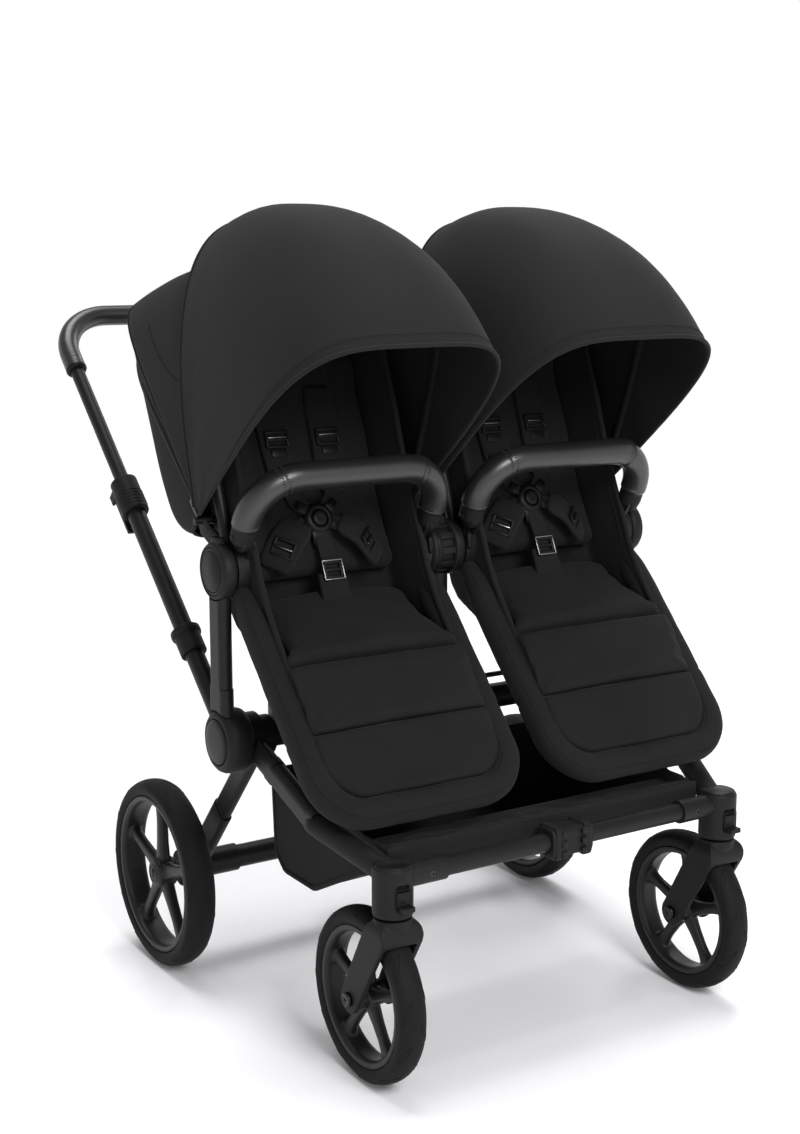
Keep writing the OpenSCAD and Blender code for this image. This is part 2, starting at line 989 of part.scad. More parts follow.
module handle_clamps() {
    color("#121213")
        both()
            at_handle(RIGHT)
                difference() {
                    union() {
                        translate([0, 0, clamp_z])
                            cylinder(d = clamp_d, h = clamp_len);
                        for (s = [-1, 1])
                            translate([s * ear_x - ear_t / 2, 0, lever_pin_z - 8])
                                cube([ear_t, lever_out + 6, 17]);
                        translate([0, lever_out, lever_pin_z])
                            disc(lever_pin_d, -lever_w / 2 - ear_t, lever_w / 2 + ear_t);
                    }
                    translate([0, 0, clamp_z - over])
                        cylinder(d = sleeve_d + 2 * rim_seat, h = sleeve_reach - clamp_z + over + rim_seat);
                    translate([0, 0, clamp_z])
                        cylinder(d = handle_tube_d + 2 * run_gap, h = clamp_len + over);
                    translate([0, lever_out, lever_pin_z])
                        difference() {
                            disc(2 * (lever_out - clamp_d / 2 + 4), ear_t / 2 - ear_x, ear_x - ear_t / 2);
                            disc(lever_pin_d, -lever_w, lever_w);
                        }
                }
}

module clamp_lever(side) {
    color("#0e0e0f")
        at_handle(side)
            difference() {
                union() {
                    translate([0, lever_out, lever_pin_z])
                        disc(lever_t + 4, -lever_w / 2, lever_w / 2);
                    translate([-lever_w / 2, lever_out - lever_t / 2 + 2.6, lever_pin_z - lever_len])
                        cube([lever_w, lever_t - 2.6, lever_len]);
                }
                translate([0, lever_out, lever_pin_z])
                    disc(lever_pin_d + 2 * run_gap, -lever_w, lever_w);
            }
}

lever_len = 66;

module handlebar() {
    color("#202021")
        at_fold()
            along(handle_angle)
                u_tube(handle_x, sleeve_reach - tube_overlap, handle_reach, handle_bend, handle_tube_d);
}

grip_arm = 30;
grip_start = handle_reach - handle_bend - grip_arm;
grip_bore = handle_tube_d + 2 * rim_seat;

module handle_grip() {
    color("#1c1c1d")
        at_fold()
            along(handle_angle)
                difference() {
                    u_tube(handle_x, grip_start, handle_reach, handle_bend, grip_d);
                    u_tube(handle_x, grip_start - over, handle_reach, handle_bend, grip_bore);
                }
}

// Seats

lug_d = 30;
lug_inset = 0.5;

// A flat lug on the seat frame's disc that carries a pin outwards
module lug(y, z, pin_d, pin_to) {
    a = atan2(z, y);
    plate(disc_in + lug_inset, disc_in + lug_t)
        union() {
            translate([y, z])
                circle(d = lug_d);
            rotate(a)
                translate([seat_disc_r / 2, -lug_d / 2])
                    square([norm([y, z]) - seat_disc_r / 2, lug_d]);
        }
    translate([0, y, z])
        disc(pin_d, disc_in + 1, pin_to);
}

module seat_frame(side) {
    color("#1a1a1b")
        at_seat(side)
            difference() {
                union() {
                    both() {
                        disc(2 * seat_disc_r, disc_in, seat_half);
                        lug(bumper_back, bumper_up, bumper_pin_d, bumper_half + bumper_eye_t / 2);
                        lug(canopy_back, canopy_up, canopy_pin_d, canopy_half + 2);
                    }
                    along(back_angle)
                        u_tube(rail_half, seat_disc_r / 2, back_reach, back_bend, seat_tube_d);
                    along(leg_angle)
                        u_tube(rail_half, seat_disc_r / 2, leg_reach, leg_bend, seat_tube_d);
                }
                both()
                    disc(seat_pin_d + 2 * run_gap, disc_in - over, seat_half + over);
            }
}

leg_bend = 62;
back_bend = 62;
leg_bore = seat_tube_d + 2 * rim_seat;

module leg_cover(side) {
    color("#19191a")
        at_seat(side)
            along(leg_angle)
                difference() {
                    u_tube(rail_half, leg_cover_start, leg_reach, leg_bend, leg_cover_d);
                    u_tube(rail_half, leg_cover_start - over, leg_reach, leg_bend, leg_bore);
                }
}

// Distances behind the backrest line, measured level
pad_back = (back_pad_t + near_gap) / cos(back_lean);
wall_back = pad_back + bucket_t / cos(back_lean);
bucket_way_d = leg_cover_d + 2 * near_gap;
bucket_top = 304;
bucket_low = -66;

// Outline of the bucket's side walls
function bucket_outline() = [
    [back_y(bucket_top) - 76, bucket_top], [back_y(bucket_top) + wall_back, bucket_top],
    [back_y(bucket_low) + wall_back, bucket_low],
    for (i = [0 : floor_rows]) seat_under(i, near_gap + bucket_t),
    seat_under(floor_rows, near_gap), [-118, -104], [-74, -42], [-46, 18], [-4, 110], [34, 220]
];

// Outline of the room for the pads and the rider
function bucket_room() = [
    [-400, bucket_top + over], [back_y(bucket_top + over) + pad_back, bucket_top + over],
    [back_y(bucket_low) + pad_back, bucket_low],
    for (i = [0 : floor_rows]) seat_under(i, near_gap),
    seat_under(floor_rows + 1, near_gap), [-400, bucket_low]
];

// A point under the seat pad: its underside and a distance more
function seat_under(i, more) = let (n = line_normal(seat_line, i))
    [seat_line[i][0] - n[0] * (seat_pad_t + more), seat_line[i][1] - n[1] * (seat_pad_t + more)];
floor_rows = 4;

module seat_bucket(side) {
    color("#161617")
        at_seat(side)
            difference() {
                plate(-bucket_half, bucket_half)
                    polygon(bucket_outline());
                plate(bucket_t - bucket_half, bucket_half - bucket_t)
                    polygon(bucket_room());
                along(leg_angle)
                    u_tube(rail_half, leg_cover_start - over, leg_reach, leg_bend, bucket_way_d);
                along(back_angle)
                    u_tube(rail_half, seat_disc_r / 2, back_reach, back_bend, seat_tube_d + 4 * near_gap);
            }
}

// Share of a pad's crown across its width, from -1 to 1
function crown_at(s) = 1 - pow(abs(s), 2.6);

pad_columns = [-1, -0.94, -0.8, -0.55, -0.27, 0, 0.27, 0.55, 0.8, 0.94, 1];
edge_round = 7;

// Side view normal of a line of points that runs down and forwards
function line_normal(line, i) = let (
    a = line[max(i - 1, 0)],
    b = line[min(i + 1, len(line) - 1)],
    d = [b[0] - a[0], b[1] - a[1]]
) [d[1], -d[0]] / norm(d);

// Half width of a pad, drawn in between its ends
function pad_width(half, i, n, draw) = half - draw * sin(180 * i / (n - 1)) - (i == 0 || i == n - 1 ? 5 : 0);

function pad_grid(line, half, draw, lift, sink) = [
    for (i = [0 : len(line) - 1])
        let (n = line_normal(line, i), w = pad_width(half, i, len(line), draw))
        [for (s = pad_columns)
            let (
                edge = abs(s) > 0.97 ? edge_round : 0,
                h = sink > 0 ? -sink + edge : lift * line[i][2] * crown_at(s) - edge
            )
            [s * w, line[i][0] + n[0] * h, line[i][1] + n[1] * h]]
];

module pad(line, half, draw, thick) {
    sheet(pad_grid(line, half, draw, pad_crown, 0), pad_grid(line, half, draw, 0, thick));
}

module seat_pad(side) {
    color("#1c1c1d")
        at_seat(side)
            pad(seat_line, pad_half - 2, 3, seat_pad_t);
}

back_steps = 11;
back_channel = [3, 7];

// Backrest surface from its top to its foot, with two sewn channels
back_line = [
    for (i = [0 : back_steps])
        let (z = back_top + (back_foot - back_top) * i / back_steps)
        [back_y(z), z, i == 0 || i == back_steps ? 0.2 : len(search(i, back_channel)) > 0 ? 0.45 : 1]
];

module back_pad(side) {
    color("#1c1c1d")
        at_seat(side)
            pad(back_line, pad_half, 3, back_pad_t);
}

// Canopies: bows that fan about the canopy pivot, from the front hem to the rear hem
bow_columns = [0, 0.03, 0.08, 0.15, 0.23, 0.32, 0.41, 0.5, 0.59, 0.68, 0.77, 0.85, 0.92, 0.97, 1];
bow_foot = 20;
front_rear_angle = 110;
front_rows = 9;
rear_lean = 66;
rear_first = 108;
rear_turn = 135;
rear_last = 186;
rear_top_rows = 5;
rear_back_rows = 6;
rear_start_r = 373;

// How square a bow is: 2 is an ellipse, more is nearer to a box
bow_power = 2.9;
hem_power = 4.1;
rear_power = 8;
flap_power = 3;

// A point of a bow at a turn u from one side to the other; it widens by the flare with its height
function bow(u, half, r, power, flare) = let (height = pow(abs(sin(u)), 2 / power)) [
    (half + flare * height) * sign(cos(u)) * pow(abs(cos(u)), 2 / power),
    r * height
];

// One bow at an angle above the way of travel, from one eye over the rider to the other
function bow_row(angle, half, r, power, flare) =
    let (first = asin(pow(bow_foot / r, power / 2)))
    [for (share = bow_columns)
        let (b = bow(first + (180 - 2 * first) * share, half, r, power, flare))
        [b[0], -b[1] * cos(angle), b[1] * sin(angle)]];

front_angles = [
    for (i = [0 : front_rows - 1])
        canopy_front_angle + (front_rear_angle - canopy_front_angle) * i / (front_rows - 1)
];

// The front panel is fullest over the pivot and draws in to its hem
front_full_angle = 93;
function front_share(angle) = (front_full_angle - angle) / (front_full_angle - canopy_front_angle);
function front_radius(angle) = canopy_r - (canopy_r - hem_r) * pow(abs(front_share(angle)), 1.2);
function front_power(angle) = bow_power + (hem_power - bow_power) * max(front_share(angle), 0);
function front_flare(angle) = hem_flare * max(front_share(angle), 0);

function rear_edge_radius(angle) =
    canopy_depth / (-sin(rear_lean) * cos(angle) - cos(rear_lean) * sin(angle));

rear_angles = concat(
    [for (i = [0 : rear_top_rows - 1])
        rear_first + (rear_turn - rear_first) * i / rear_top_rows],
    [for (i = [0 : rear_back_rows])
        rear_turn + (rear_last - rear_turn) * i / rear_back_rows]
);

// The rear panel starts under the front one, swells out to a square back and ends in a round flap
function rear_top_share(angle) = (angle - rear_first) / (rear_turn - rear_first);
function rear_low_share(angle) = (angle - rear_turn) / (rear_last - rear_turn);
function rear_radius(angle) =
    angle >= rear_turn ? rear_edge_radius(angle)
    : rear_start_r + (rear_edge_radius(rear_turn) - rear_start_r) * pow(rear_top_share(angle), 2);
function rear_row_power(angle) =
    angle >= rear_turn ? rear_power + (flap_power - rear_power) * rear_low_share(angle)
    : bow_power + (rear_power - bow_power) * pow(rear_top_share(angle), 1.5);

module canopy_shell(angles, radii, powers, flares, half) {
    rows = [0 : len(angles) - 1];
    sheet(
        [for (i = rows) bow_row(angles[i], half, radii[i], powers[i], flares[i])],
        [for (i = rows) bow_row(angles[i], half - canopy_t, radii[i] - canopy_t, powers[i], flares[i])]
    );
}

// A canopy panel with an eye at each side for the pivot pin
module canopy_panel(angles, radii, powers, flares, half) {
    difference() {
        union() {
            canopy_shell(angles, radii, powers, flares, half);
            both()
                disc(canopy_eye_d, half - canopy_t - eye_proud, half + eye_proud);
        }
        both()
            disc(canopy_pin_d + 2 * run_gap, half - 2 * canopy_t, half + 2 * eye_proud);
    }
}

eye_proud = 0.8;

module at_canopy(side) {
    at_seat(side)
        translate([0, canopy_back, canopy_up])
            children();
}

module canopy_front(side) {
    color("#1b1b1c")
        at_canopy(side)
            canopy_panel(
                front_angles,
                [for (a = front_angles) front_radius(a)],
                [for (a = front_angles) front_power(a)],
                [for (a = front_angles) front_flare(a)],
                canopy_half
            );
}

module canopy_rear(side) {
    color("#18181a")
        at_canopy(side)
            canopy_panel(
                rear_angles,
                [for (a = rear_angles) rear_radius(a)],
                [for (a = rear_angles) rear_row_power(a)],
                [for (a = rear_angles) 0],
                canopy_rear_half
            );
}

module bumper_bar(side) {
    color("#1f1f20")
        at_seat(side)
            translate([0, bumper_back, bumper_up])
                difference() {
                    union() {
                        along(180 - bumper_slope)
                            u_tube(bumper_half, 0, bumper_reach, bumper_bend, bumper_d);
                        both()
                            disc(bumper_d, bumper_half - bumper_eye_t / 2, bumper_half + bumper_eye_t / 2);
                    }
                    both()
                        disc(bumper_pin_d + 2 * run_gap, disc_in, bumper_half + bumper_d);
                    both()
                        disc(bumper_d + over, 0, bumper_half - bumper_eye_t / 2);
                }
}

// Harness, drawn along the backrest: +Z up the back, -Y towards the rider
strap_w = 25;
strap_t = 2;
shoulder_x = 46;
shoulder_pad_t = 9;
shoulder_face = -pad_crown - shoulder_pad_t;
shoulder_low = 86;
shoulder_high = 236;
buckle_z = 52;
buckle_t = 14;
hip_x = 74;

module at_back(side) {
    at_seat(side)
        translate([0, back_y0, 0])
            along(back_angle)
                children();
}

module harness(side) {
    color("#151516")
        at_back(side)
            difference() {
                union() {
                    both() {
                        translate([shoulder_x - shoulder_pad_w / 2, shoulder_face, shoulder_low])
                            cube([shoulder_pad_w, shoulder_pad_t, shoulder_high - shoulder_low]);
                        translate([shoulder_x - strap_w / 2, -pad_crown - strap_t - 3, buckle_z])
                            cube([strap_w, strap_t, shoulder_high - buckle_z + 34]);
                        translate([8, -pad_crown - strap_t - 3, buckle_z - strap_w / 2])
                            cube([shoulder_x, strap_t, strap_w]);
                        translate([hip_x - 24, -pad_crown - shoulder_pad_t, buckle_z - 54])
                            cube([40, shoulder_pad_t, 62]);
                    }
                    translate([-strap_w / 2, -pad_crown - strap_t - 3, buckle_z - crotch_len])
                        cube([strap_w, strap_t, crotch_len]);
                }
                translate([0, 0, buckle_z])
                    rotate([90, 0, 0])
                        cylinder(d = buckle_d + 2 * rim_seat, h = 3 * pad_crown);
            }
}

crotch_len = 110;
button_t = 7;
button_travel = 3;

module buckle(side) {
    color("#111112")
        at_back(side)
            translate([0, -pad_crown, buckle_z])
                rotate([90, 0, 0])
                    difference() {
                        cylinder(d = buckle_d, h = buckle_t);
                        translate([0, 0, buckle_t - button_t - button_travel + 1])
                            cylinder(d = button_d + 2 * run_gap, h = buckle_t);
                    }
}

module buckle_button(side) {
    color("#0c0c0d")
        at_back(side)
            translate([0, -pad_crown - buckle_t + button_t - 2, buckle_z])
                rotate([90, 0, 0])
                    cylinder(d = button_d, h = button_t);
}

// Basket

basket_clear = 19;
basket_front = -stem_ahead + crossbar_d / 2 + basket_clear;
basket_front_z = crossbar_z - fold_z;
basket_rear = 22;
basket_rear_top = -62;
basket_rear_cut = 40;
basket_rear_slant = 8;
basket_rear_foot = 22;
basket_floor_rear = 34;
basket_floor_front = -96;
basket_knee = [-222, -140];
basket_lip_low = 6;
basket_lip_high = 24;
basket_front_cut = 60;

// Side view of the basket: behind and above the fold axis
function basket_side(in) = [
    [basket_rear - in, basket_rear_top + (in > 0 ? basket_rear_cut : 0)],
    [basket_rear - basket_rear_slant - in, -basket_depth + basket_rear_foot + in / 2],
    [basket_rear - basket_floor_rear, -basket_depth + in],
    [basket_floor_front, -basket_depth + in],
    [basket_knee[0], basket_knee[1] + in],
    [basket_front + in, basket_front_z - basket_lip_low + in],
    [basket_front + in, basket_front_z + basket_lip_high + (in > 0 ? basket_front_cut : 0)]
];

hanger_y = -118;
hanger_w = 34;

module basket() {
    color("#141415")
        at_fold() {
            difference() {
                plate(-basket_half, basket_half)
                    polygon(basket_side(0));
                plate(basket_t - basket_half, basket_half - basket_t)
                    polygon(basket_side(basket_t));
            }
            both()
                translate([0, hanger_y + hanger_w, 0])
                    rotate([90, 0, 0])
                        linear_extrude(hanger_w)
                            polygon([
                                [basket_half - over, hanger_low_z],
                                [basket_half - over, hanger_low_z + hanger_h],
                                [front_leg_in_x - near_gap, hanger_top_z + hanger_h / 2],
                                [front_leg_in_x - near_gap, hanger_top_z - hanger_h / 2]
                            ]);
        }
}

hanger_h = 8;
hanger_drop = 24;
hanger_low_z = basket_rear_top - hanger_drop;
hanger_top_z = (hanger_y + hanger_w / 2) * tan(front_leg_slope);

front_legs();
front_corners();
front_crossbar();
crossbar_clasp();
lower_hubs();
lower_hub_caps();
uprights();
side_seat_hubs();
centre_post();
centre_hub();
cross_tube();
brace_rod();
handle_sleeves();
handle_clamps();
basket();
screws();
rear_legs();
rear_axle();
brake_pedal();
rear_rim(LEFT);  // rear_rim_left
rear_rim(RIGHT);  // rear_rim_right
rear_tyre(LEFT);  // rear_tyre_left
rear_tyre(RIGHT);  // rear_tyre_right
fork(LEFT);  // fork_left
fork(RIGHT);  // fork_right
front_axle(LEFT);  // front_axle_left
front_axle(RIGHT);  // front_axle_right
front_rim(LEFT);  // front_rim_left
front_rim(RIGHT);  // front_rim_right
front_tyre(LEFT);  // front_tyre_left
front_tyre(RIGHT);  // front_tyre_right
swivel_lock(LEFT);  // swivel_lock_left
swivel_lock(RIGHT);  // swivel_lock_right
handlebar();
handle_grip();
clamp_lever(LEFT);  // clamp_lever_left
clamp_lever(RIGHT);  // clamp_lever_right
fold_sliders();
seat_frame(LEFT);  // seat_frame_left
seat_frame(RIGHT);  // seat_frame_right
leg_cover(LEFT);  // leg_cover_left
leg_cover(RIGHT);  // leg_cover_right
seat_bucket(LEFT);  // seat_bucket_left
seat_bucket(RIGHT);  // seat_bucket_right
seat_pad(LEFT);  // seat_pad_left
seat_pad(RIGHT);  // seat_pad_right
back_pad(LEFT);  // back_pad_left
back_pad(RIGHT);  // back_pad_right
canopy_rear(LEFT);  // canopy_rear_left
canopy_rear(RIGHT);  // canopy_rear_right
canopy_front(LEFT);  // canopy_front_left
canopy_front(RIGHT);  // canopy_front_right
bumper_bar(LEFT);  // bumper_bar_left
bumper_bar(RIGHT);  // bumper_bar_right
harness(LEFT);  // harness_left
harness(RIGHT);  // harness_right
buckle(LEFT);  // buckle_left
buckle(RIGHT);  // buckle_right
buckle_button(LEFT);  // buckle_button_left
buckle_button(RIGHT);  // buckle_button_right
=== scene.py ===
# %% [markdown]
# # Dressing a side by side double stroller
# The CAD model gives this stroller its sizes and its joints. This lesson gives it its looks: cloth,
# leather, moulded plastic, coated tube and rubber. Everything is in metres, -Y is the way of travel
# and +Z is up.

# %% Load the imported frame
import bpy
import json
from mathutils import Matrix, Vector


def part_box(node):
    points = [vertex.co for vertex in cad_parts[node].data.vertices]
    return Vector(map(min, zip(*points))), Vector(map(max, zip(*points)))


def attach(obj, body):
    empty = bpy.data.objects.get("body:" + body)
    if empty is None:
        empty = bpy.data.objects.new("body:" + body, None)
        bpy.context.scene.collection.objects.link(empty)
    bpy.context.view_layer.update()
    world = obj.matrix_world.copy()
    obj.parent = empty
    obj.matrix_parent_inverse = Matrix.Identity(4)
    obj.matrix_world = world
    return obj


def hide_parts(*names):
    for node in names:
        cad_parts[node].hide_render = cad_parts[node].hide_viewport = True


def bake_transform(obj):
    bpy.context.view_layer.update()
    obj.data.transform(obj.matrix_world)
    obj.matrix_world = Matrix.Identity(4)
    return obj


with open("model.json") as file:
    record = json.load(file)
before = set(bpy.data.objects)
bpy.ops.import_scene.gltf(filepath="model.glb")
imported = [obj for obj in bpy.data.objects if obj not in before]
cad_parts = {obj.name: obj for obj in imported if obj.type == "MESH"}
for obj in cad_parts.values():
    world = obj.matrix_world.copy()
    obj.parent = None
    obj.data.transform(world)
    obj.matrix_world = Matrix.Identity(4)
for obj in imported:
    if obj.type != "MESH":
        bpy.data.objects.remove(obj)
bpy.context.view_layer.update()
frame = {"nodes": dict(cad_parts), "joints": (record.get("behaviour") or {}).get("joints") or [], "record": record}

import json
import math

import bmesh
import bpy
from mathutils import Matrix, Vector, noise

scene = bpy.context.scene

# %% [markdown]
# ## Places that come from the joints
# A hinge's place in the record is where a real pin sits. Reading the pins from the frame means that
# no piece has to be fitted by eye: a canopy is drawn about its own pivot, a wheel about its own axle.

# %% Read the pivots
SIDES = {"left": -1, "right": 1}
joints = {joint["name"]: joint for joint in frame["joints"]}


def pivot_of(joint):
    return Vector(joints[joint]["pos_m"])


fold_axis = pivot_of("rear_fold")
seat_pivot = {side: pivot_of(f"recline_{side}") for side in SIDES}
canopy_pivot = {side: pivot_of(f"canopy_fold_{side}") for side in SIDES}
bumper_pivot = {side: pivot_of(f"bumper_swing_{side}") for side in SIDES}
handle_way = Vector(joints["handle_slide"]["axis"]).normalized()
X, Y, Z = Vector((1, 0, 0)), Vector((0, 1, 0)), Vector((0, 0, 1))
print("fold axis", fold_axis, "handle runs along", handle_way)

# %% [markdown]
# ## The camera
# The photograph was taken from the front left, a little above the seats. The place and the lens were
# worked out once from the wheels, hubs and tubes, so the render can be laid over the photograph.

# %% Set the camera
CAMERA_PLACE = Vector((-1.3791, -2.1945, 1.0922))
CAMERA_TARGET = Vector((0.0010, -0.0232, 0.6097))
CAMERA_LENS_MM = 53.99
camera_data = bpy.data.cameras.new("photo_camera")
camera_data.lens = CAMERA_LENS_MM
camera_data.sensor_width = 36
camera = bpy.data.objects.new("photo_camera", camera_data)
camera.location = CAMERA_PLACE
camera.rotation_euler = (CAMERA_TARGET - CAMERA_PLACE).to_track_quat("-Z", "Y").to_euler()
scene.collection.objects.link(camera)
scene.camera = camera
print("camera is", round((CAMERA_TARGET - CAMERA_PLACE).length, 3), "m away")

# %% [markdown]
# ## Shapes as points and faces
# Each shape here is a pair: a list of points and a list of faces. Pairs are easy to make in a loop
# and easy to join, and only the finished pair becomes a Blender mesh.


# %% From a shape to a mesh
def make_piece(name, shape, *finishes, sharp_deg=None):
    mesh = bpy.data.meshes.new(name)
    mesh.from_pydata([tuple(point) for point in shape[0]], [], shape[1])
    tidy = bmesh.new()
    tidy.from_mesh(mesh)
    bmesh.ops.remove_doubles(tidy, verts=tidy.verts, dist=1e-6)
    bmesh.ops.recalc_face_normals(tidy, faces=tidy.faces)
    for face in tidy.faces:
        face.smooth = True
    tidy.to_mesh(mesh)
    tidy.free()
    if sharp_deg:
        mesh.set_sharp_from_angle(angle=math.radians(sharp_deg))
    for finish in finishes:
        mesh.materials.append(finish)
    piece = bpy.data.objects.new(name, mesh)
    scene.collection.objects.link(piece)
    return piece

# %% [markdown]
# ## Finishes
# The whole stroller is black, so its materials differ by gloss and grain and hardly by colour. Every
# finish gets a cloudy colour and roughness from noise, and a bump that has the scale of the real
# surface: a weave of about a millimetre, a leather grain of two, a moulded grain below one.


# %% Helpers for finishes
def add_node(finish, kind, inputs=None, **settings):
    made = finish.node_tree.nodes.new(kind)
    for name, value in settings.items():
        setattr(made, name, value)
    for name, value in (inputs or {}).items():
        made.inputs[name].default_value = value
    return made


def link(finish, start, end):
    finish.node_tree.links.new(start, end)


def new_finish(name, dark, light, rough, specular, cloud_scale=14.0):
    """A principled material whose colour and roughness drift between two values."""
    finish = bpy.data.materials.new(name)
    finish.use_nodes = True
    shader = finish.node_tree.nodes["Principled BSDF"]
    shader.inputs["Specular IOR Level"].default_value = specular
    place = add_node(finish, "ShaderNodeTexCoord")
    cloud = add_node(finish, "ShaderNodeTexNoise", {"Scale": cloud_scale, "Detail": 5.0, "Roughness": 0.6})
    tint = add_node(finish, "ShaderNodeValToRGB")
    tint.color_ramp.elements[0].position = 0.3
    tint.color_ramp.elements[0].color = (dark, dark, dark * 1.03, 1)
    tint.color_ramp.elements[1].position = 0.7
    tint.color_ramp.elements[1].color = (light, light, light * 1.02, 1)
    matt = add_node(finish, "ShaderNodeMapRange", {"To Min": rough[0], "To Max": rough[1]})
    link(finish, place.outputs["Object"], cloud.inputs["Vector"])
    link(finish, cloud.outputs["Fac"], tint.inputs["Fac"])
    link(finish, cloud.outputs["Fac"], matt.inputs["Value"])
    link(finish, tint.outputs["Color"], shader.inputs["Base Color"])
    link(finish, matt.outputs["Result"], shader.inputs["Roughness"])
    return finish, shader, place


# %% Layers of bump
def add_bump(finish, shader, height, distance, strength):
    """One more layer of bump, over those that are there."""
    bump = add_node(finish, "ShaderNodeBump", {"Distance": distance, "Strength": strength})
    link(finish, height, bump.inputs["Height"])
    below = shader.inputs["Normal"].links
    if below:
        link(finish, below[0].from_socket, bump.inputs["Normal"])
    link(finish, bump.outputs["Normal"], shader.inputs["Normal"])


def threads(finish, place, pitch, tilt):
    """Bands one thread apart, along a tilted direction so that no face of the object misses them."""
    bands_per_metre = 2 * math.pi / 20
    turn = add_node(finish, "ShaderNodeMapping", {"Rotation": [math.radians(a) for a in tilt]})
    bands = add_node(finish, "ShaderNodeTexWave", {"Scale": bands_per_metre / pitch, "Distortion": 0.4})
    link(finish, place.outputs["Object"], turn.inputs["Vector"])
    link(finish, turn.outputs["Vector"], bands.inputs["Vector"])
    return bands.outputs["Fac"]


def weave(finish, shader, place, pitch, depth, strength):
    """Warp over weft: the higher of two crossing sets of threads."""
    over = add_node(finish, "ShaderNodeMath", operation="MULTIPLY")
    link(finish, threads(finish, place, pitch, (20, 35, 40)), over.inputs[0])
    link(finish, threads(finish, place, pitch, (20, 35, 130)), over.inputs[1])
    add_bump(finish, shader, over.outputs["Value"], depth, strength)


def grain(finish, shader, place, scale, depth, strength):
    """Small cells, as in leather or on a grained mould."""
    cells = add_node(finish, "ShaderNodeTexVoronoi", {"Scale": scale, "Randomness": 0.9}, feature="SMOOTH_F1")
    link(finish, place.outputs["Object"], cells.inputs["Vector"])
    add_bump(finish, shader, cells.outputs["Distance"], depth, strength)


def speckle(finish, shader, place, scale, depth, strength):
    """Fine noise, as on a powder coat or matt rubber."""
    fine = add_node(finish, "ShaderNodeTexNoise", {"Scale": scale, "Detail": 3.0})
    link(finish, place.outputs["Object"], fine.inputs["Vector"])
    add_bump(finish, shader, fine.outputs["Fac"], depth, strength)


# %% Cloth finishes
def cloth(name, dark, light, pitch, depth, sheen):
    finish, shader, place = new_finish(name, dark, light, (0.82, 0.95), 0.16, cloud_scale=9.0)
    shader.inputs["Sheen Weight"].default_value = sheen
    shader.inputs["Sheen Roughness"].default_value = 0.5
    speckle(finish, shader, place, 38.0, 0.004, 0.10)
    weave(finish, shader, place, pitch, depth, 0.5)
    return finish


canopy_cloth = cloth("canopy_cloth", 0.0088, 0.0112, 0.0011, 0.0003, 0.035)
seat_cloth = cloth("seat_cloth", 0.0072, 0.0098, 0.0013, 0.0004, 0.030)
lining_cloth = cloth("lining_cloth", 0.0075, 0.0100, 0.0009, 0.0003, 0.015)
grey_lining = cloth("grey_lining", 0.030, 0.045, 0.0014, 0.0004, 0.05)
basket_cloth = cloth("basket_cloth", 0.0110, 0.0140, 0.0016, 0.0004, 0.015)
webbing = cloth("webbing", 0.0065, 0.0100, 0.0022, 0.0007, 0.03)
thread = cloth("thread", 0.010, 0.022, 0.0006, 0.0002, 0.05)
print("cloth finishes made")


# %% Hard finishes
def hard(name, dark, light, rough, specular, layer, scale, depth, strength):
    finish, shader, place = new_finish(name, dark, light, rough, specular)
    layer(finish, shader, place, scale, depth, strength)
    return finish


coated_tube = hard("coated_tube", 0.0062, 0.0085, (0.38, 0.48), 0.20, speckle, 900.0, 0.0004, 0.10)
moulded = hard("moulded", 0.0066, 0.0092, (0.48, 0.60), 0.16, grain, 1500.0, 0.0003, 0.14)
half_gloss = hard("half_gloss", 0.0055, 0.0075, (0.34, 0.44), 0.14, speckle, 500.0, 0.0003, 0.06)
rim_moulded = hard("rim_moulded", 0.0070, 0.0098, (0.38, 0.50), 0.28, grain, 1300.0, 0.0003, 0.10)
rubber = hard("rubber", 0.0046, 0.0068, (0.60, 0.76), 0.16, speckle, 420.0, 0.0007, 0.22)
leather = hard("leather", 0.0095, 0.0125, (0.28, 0.41), 0.62, grain, 620.0, 0.0006, 0.20)
dark_steel = hard("dark_steel", 0.030, 0.045, (0.25, 0.38), 0.5, speckle, 700.0, 0.0003, 0.10)
bright_steel = hard("bright_steel", 0.22, 0.30, (0.22, 0.34), 0.5, speckle, 700.0, 0.0003, 0.10)
for steel in (dark_steel, bright_steel):
    steel.node_tree.nodes["Principled BSDF"].inputs["Metallic"].default_value = 1.0
print("hard finishes made")

# %% [markdown]
# ## Finishes on the CAD pieces that stay
# Straight tubes, axles and screws already have their true shape. They only lose the plain colour from
# CAD and take a finish. The pieces that get a new shape further down hide their CAD solid then.

# %% Paint the CAD nodes
FINISH_OF_SLOT = {
    "frame_black": coated_tube,
    "moulded_black": moulded,
    "cap_black": half_gloss,
    "rim_black": rim_moulded,
    "tyre": rubber,
    "canopy_fabric": canopy_cloth,
    "seat_fabric": seat_cloth,
    "basket_fabric": basket_cloth,
    "webbing": webbing,
    "leather_black": leather,
    "dark_steel": dark_steel,
}
slot_of_node = {part["node"]: part["material_slot"] for part in frame["record"]["subparts"]}
for node_name, node_object in frame["nodes"].items():
    node_object.data.materials.clear()
    node_object.data.materials.append(FINISH_OF_SLOT[slot_of_node[node_name]])
print("painted", len(slot_of_node), "CAD nodes")

# %% [markdown]
# ## Floor and light
# The photograph is a studio picture: white all round, with a soft dark shadow under the wheels. The
# sky is white at the horizon and dimmer overhead, so that the shadow stays dark. A wide soft sun from
# above makes the open floor white again, and two round lamps draw the highlights along the leather
# and the tubes.

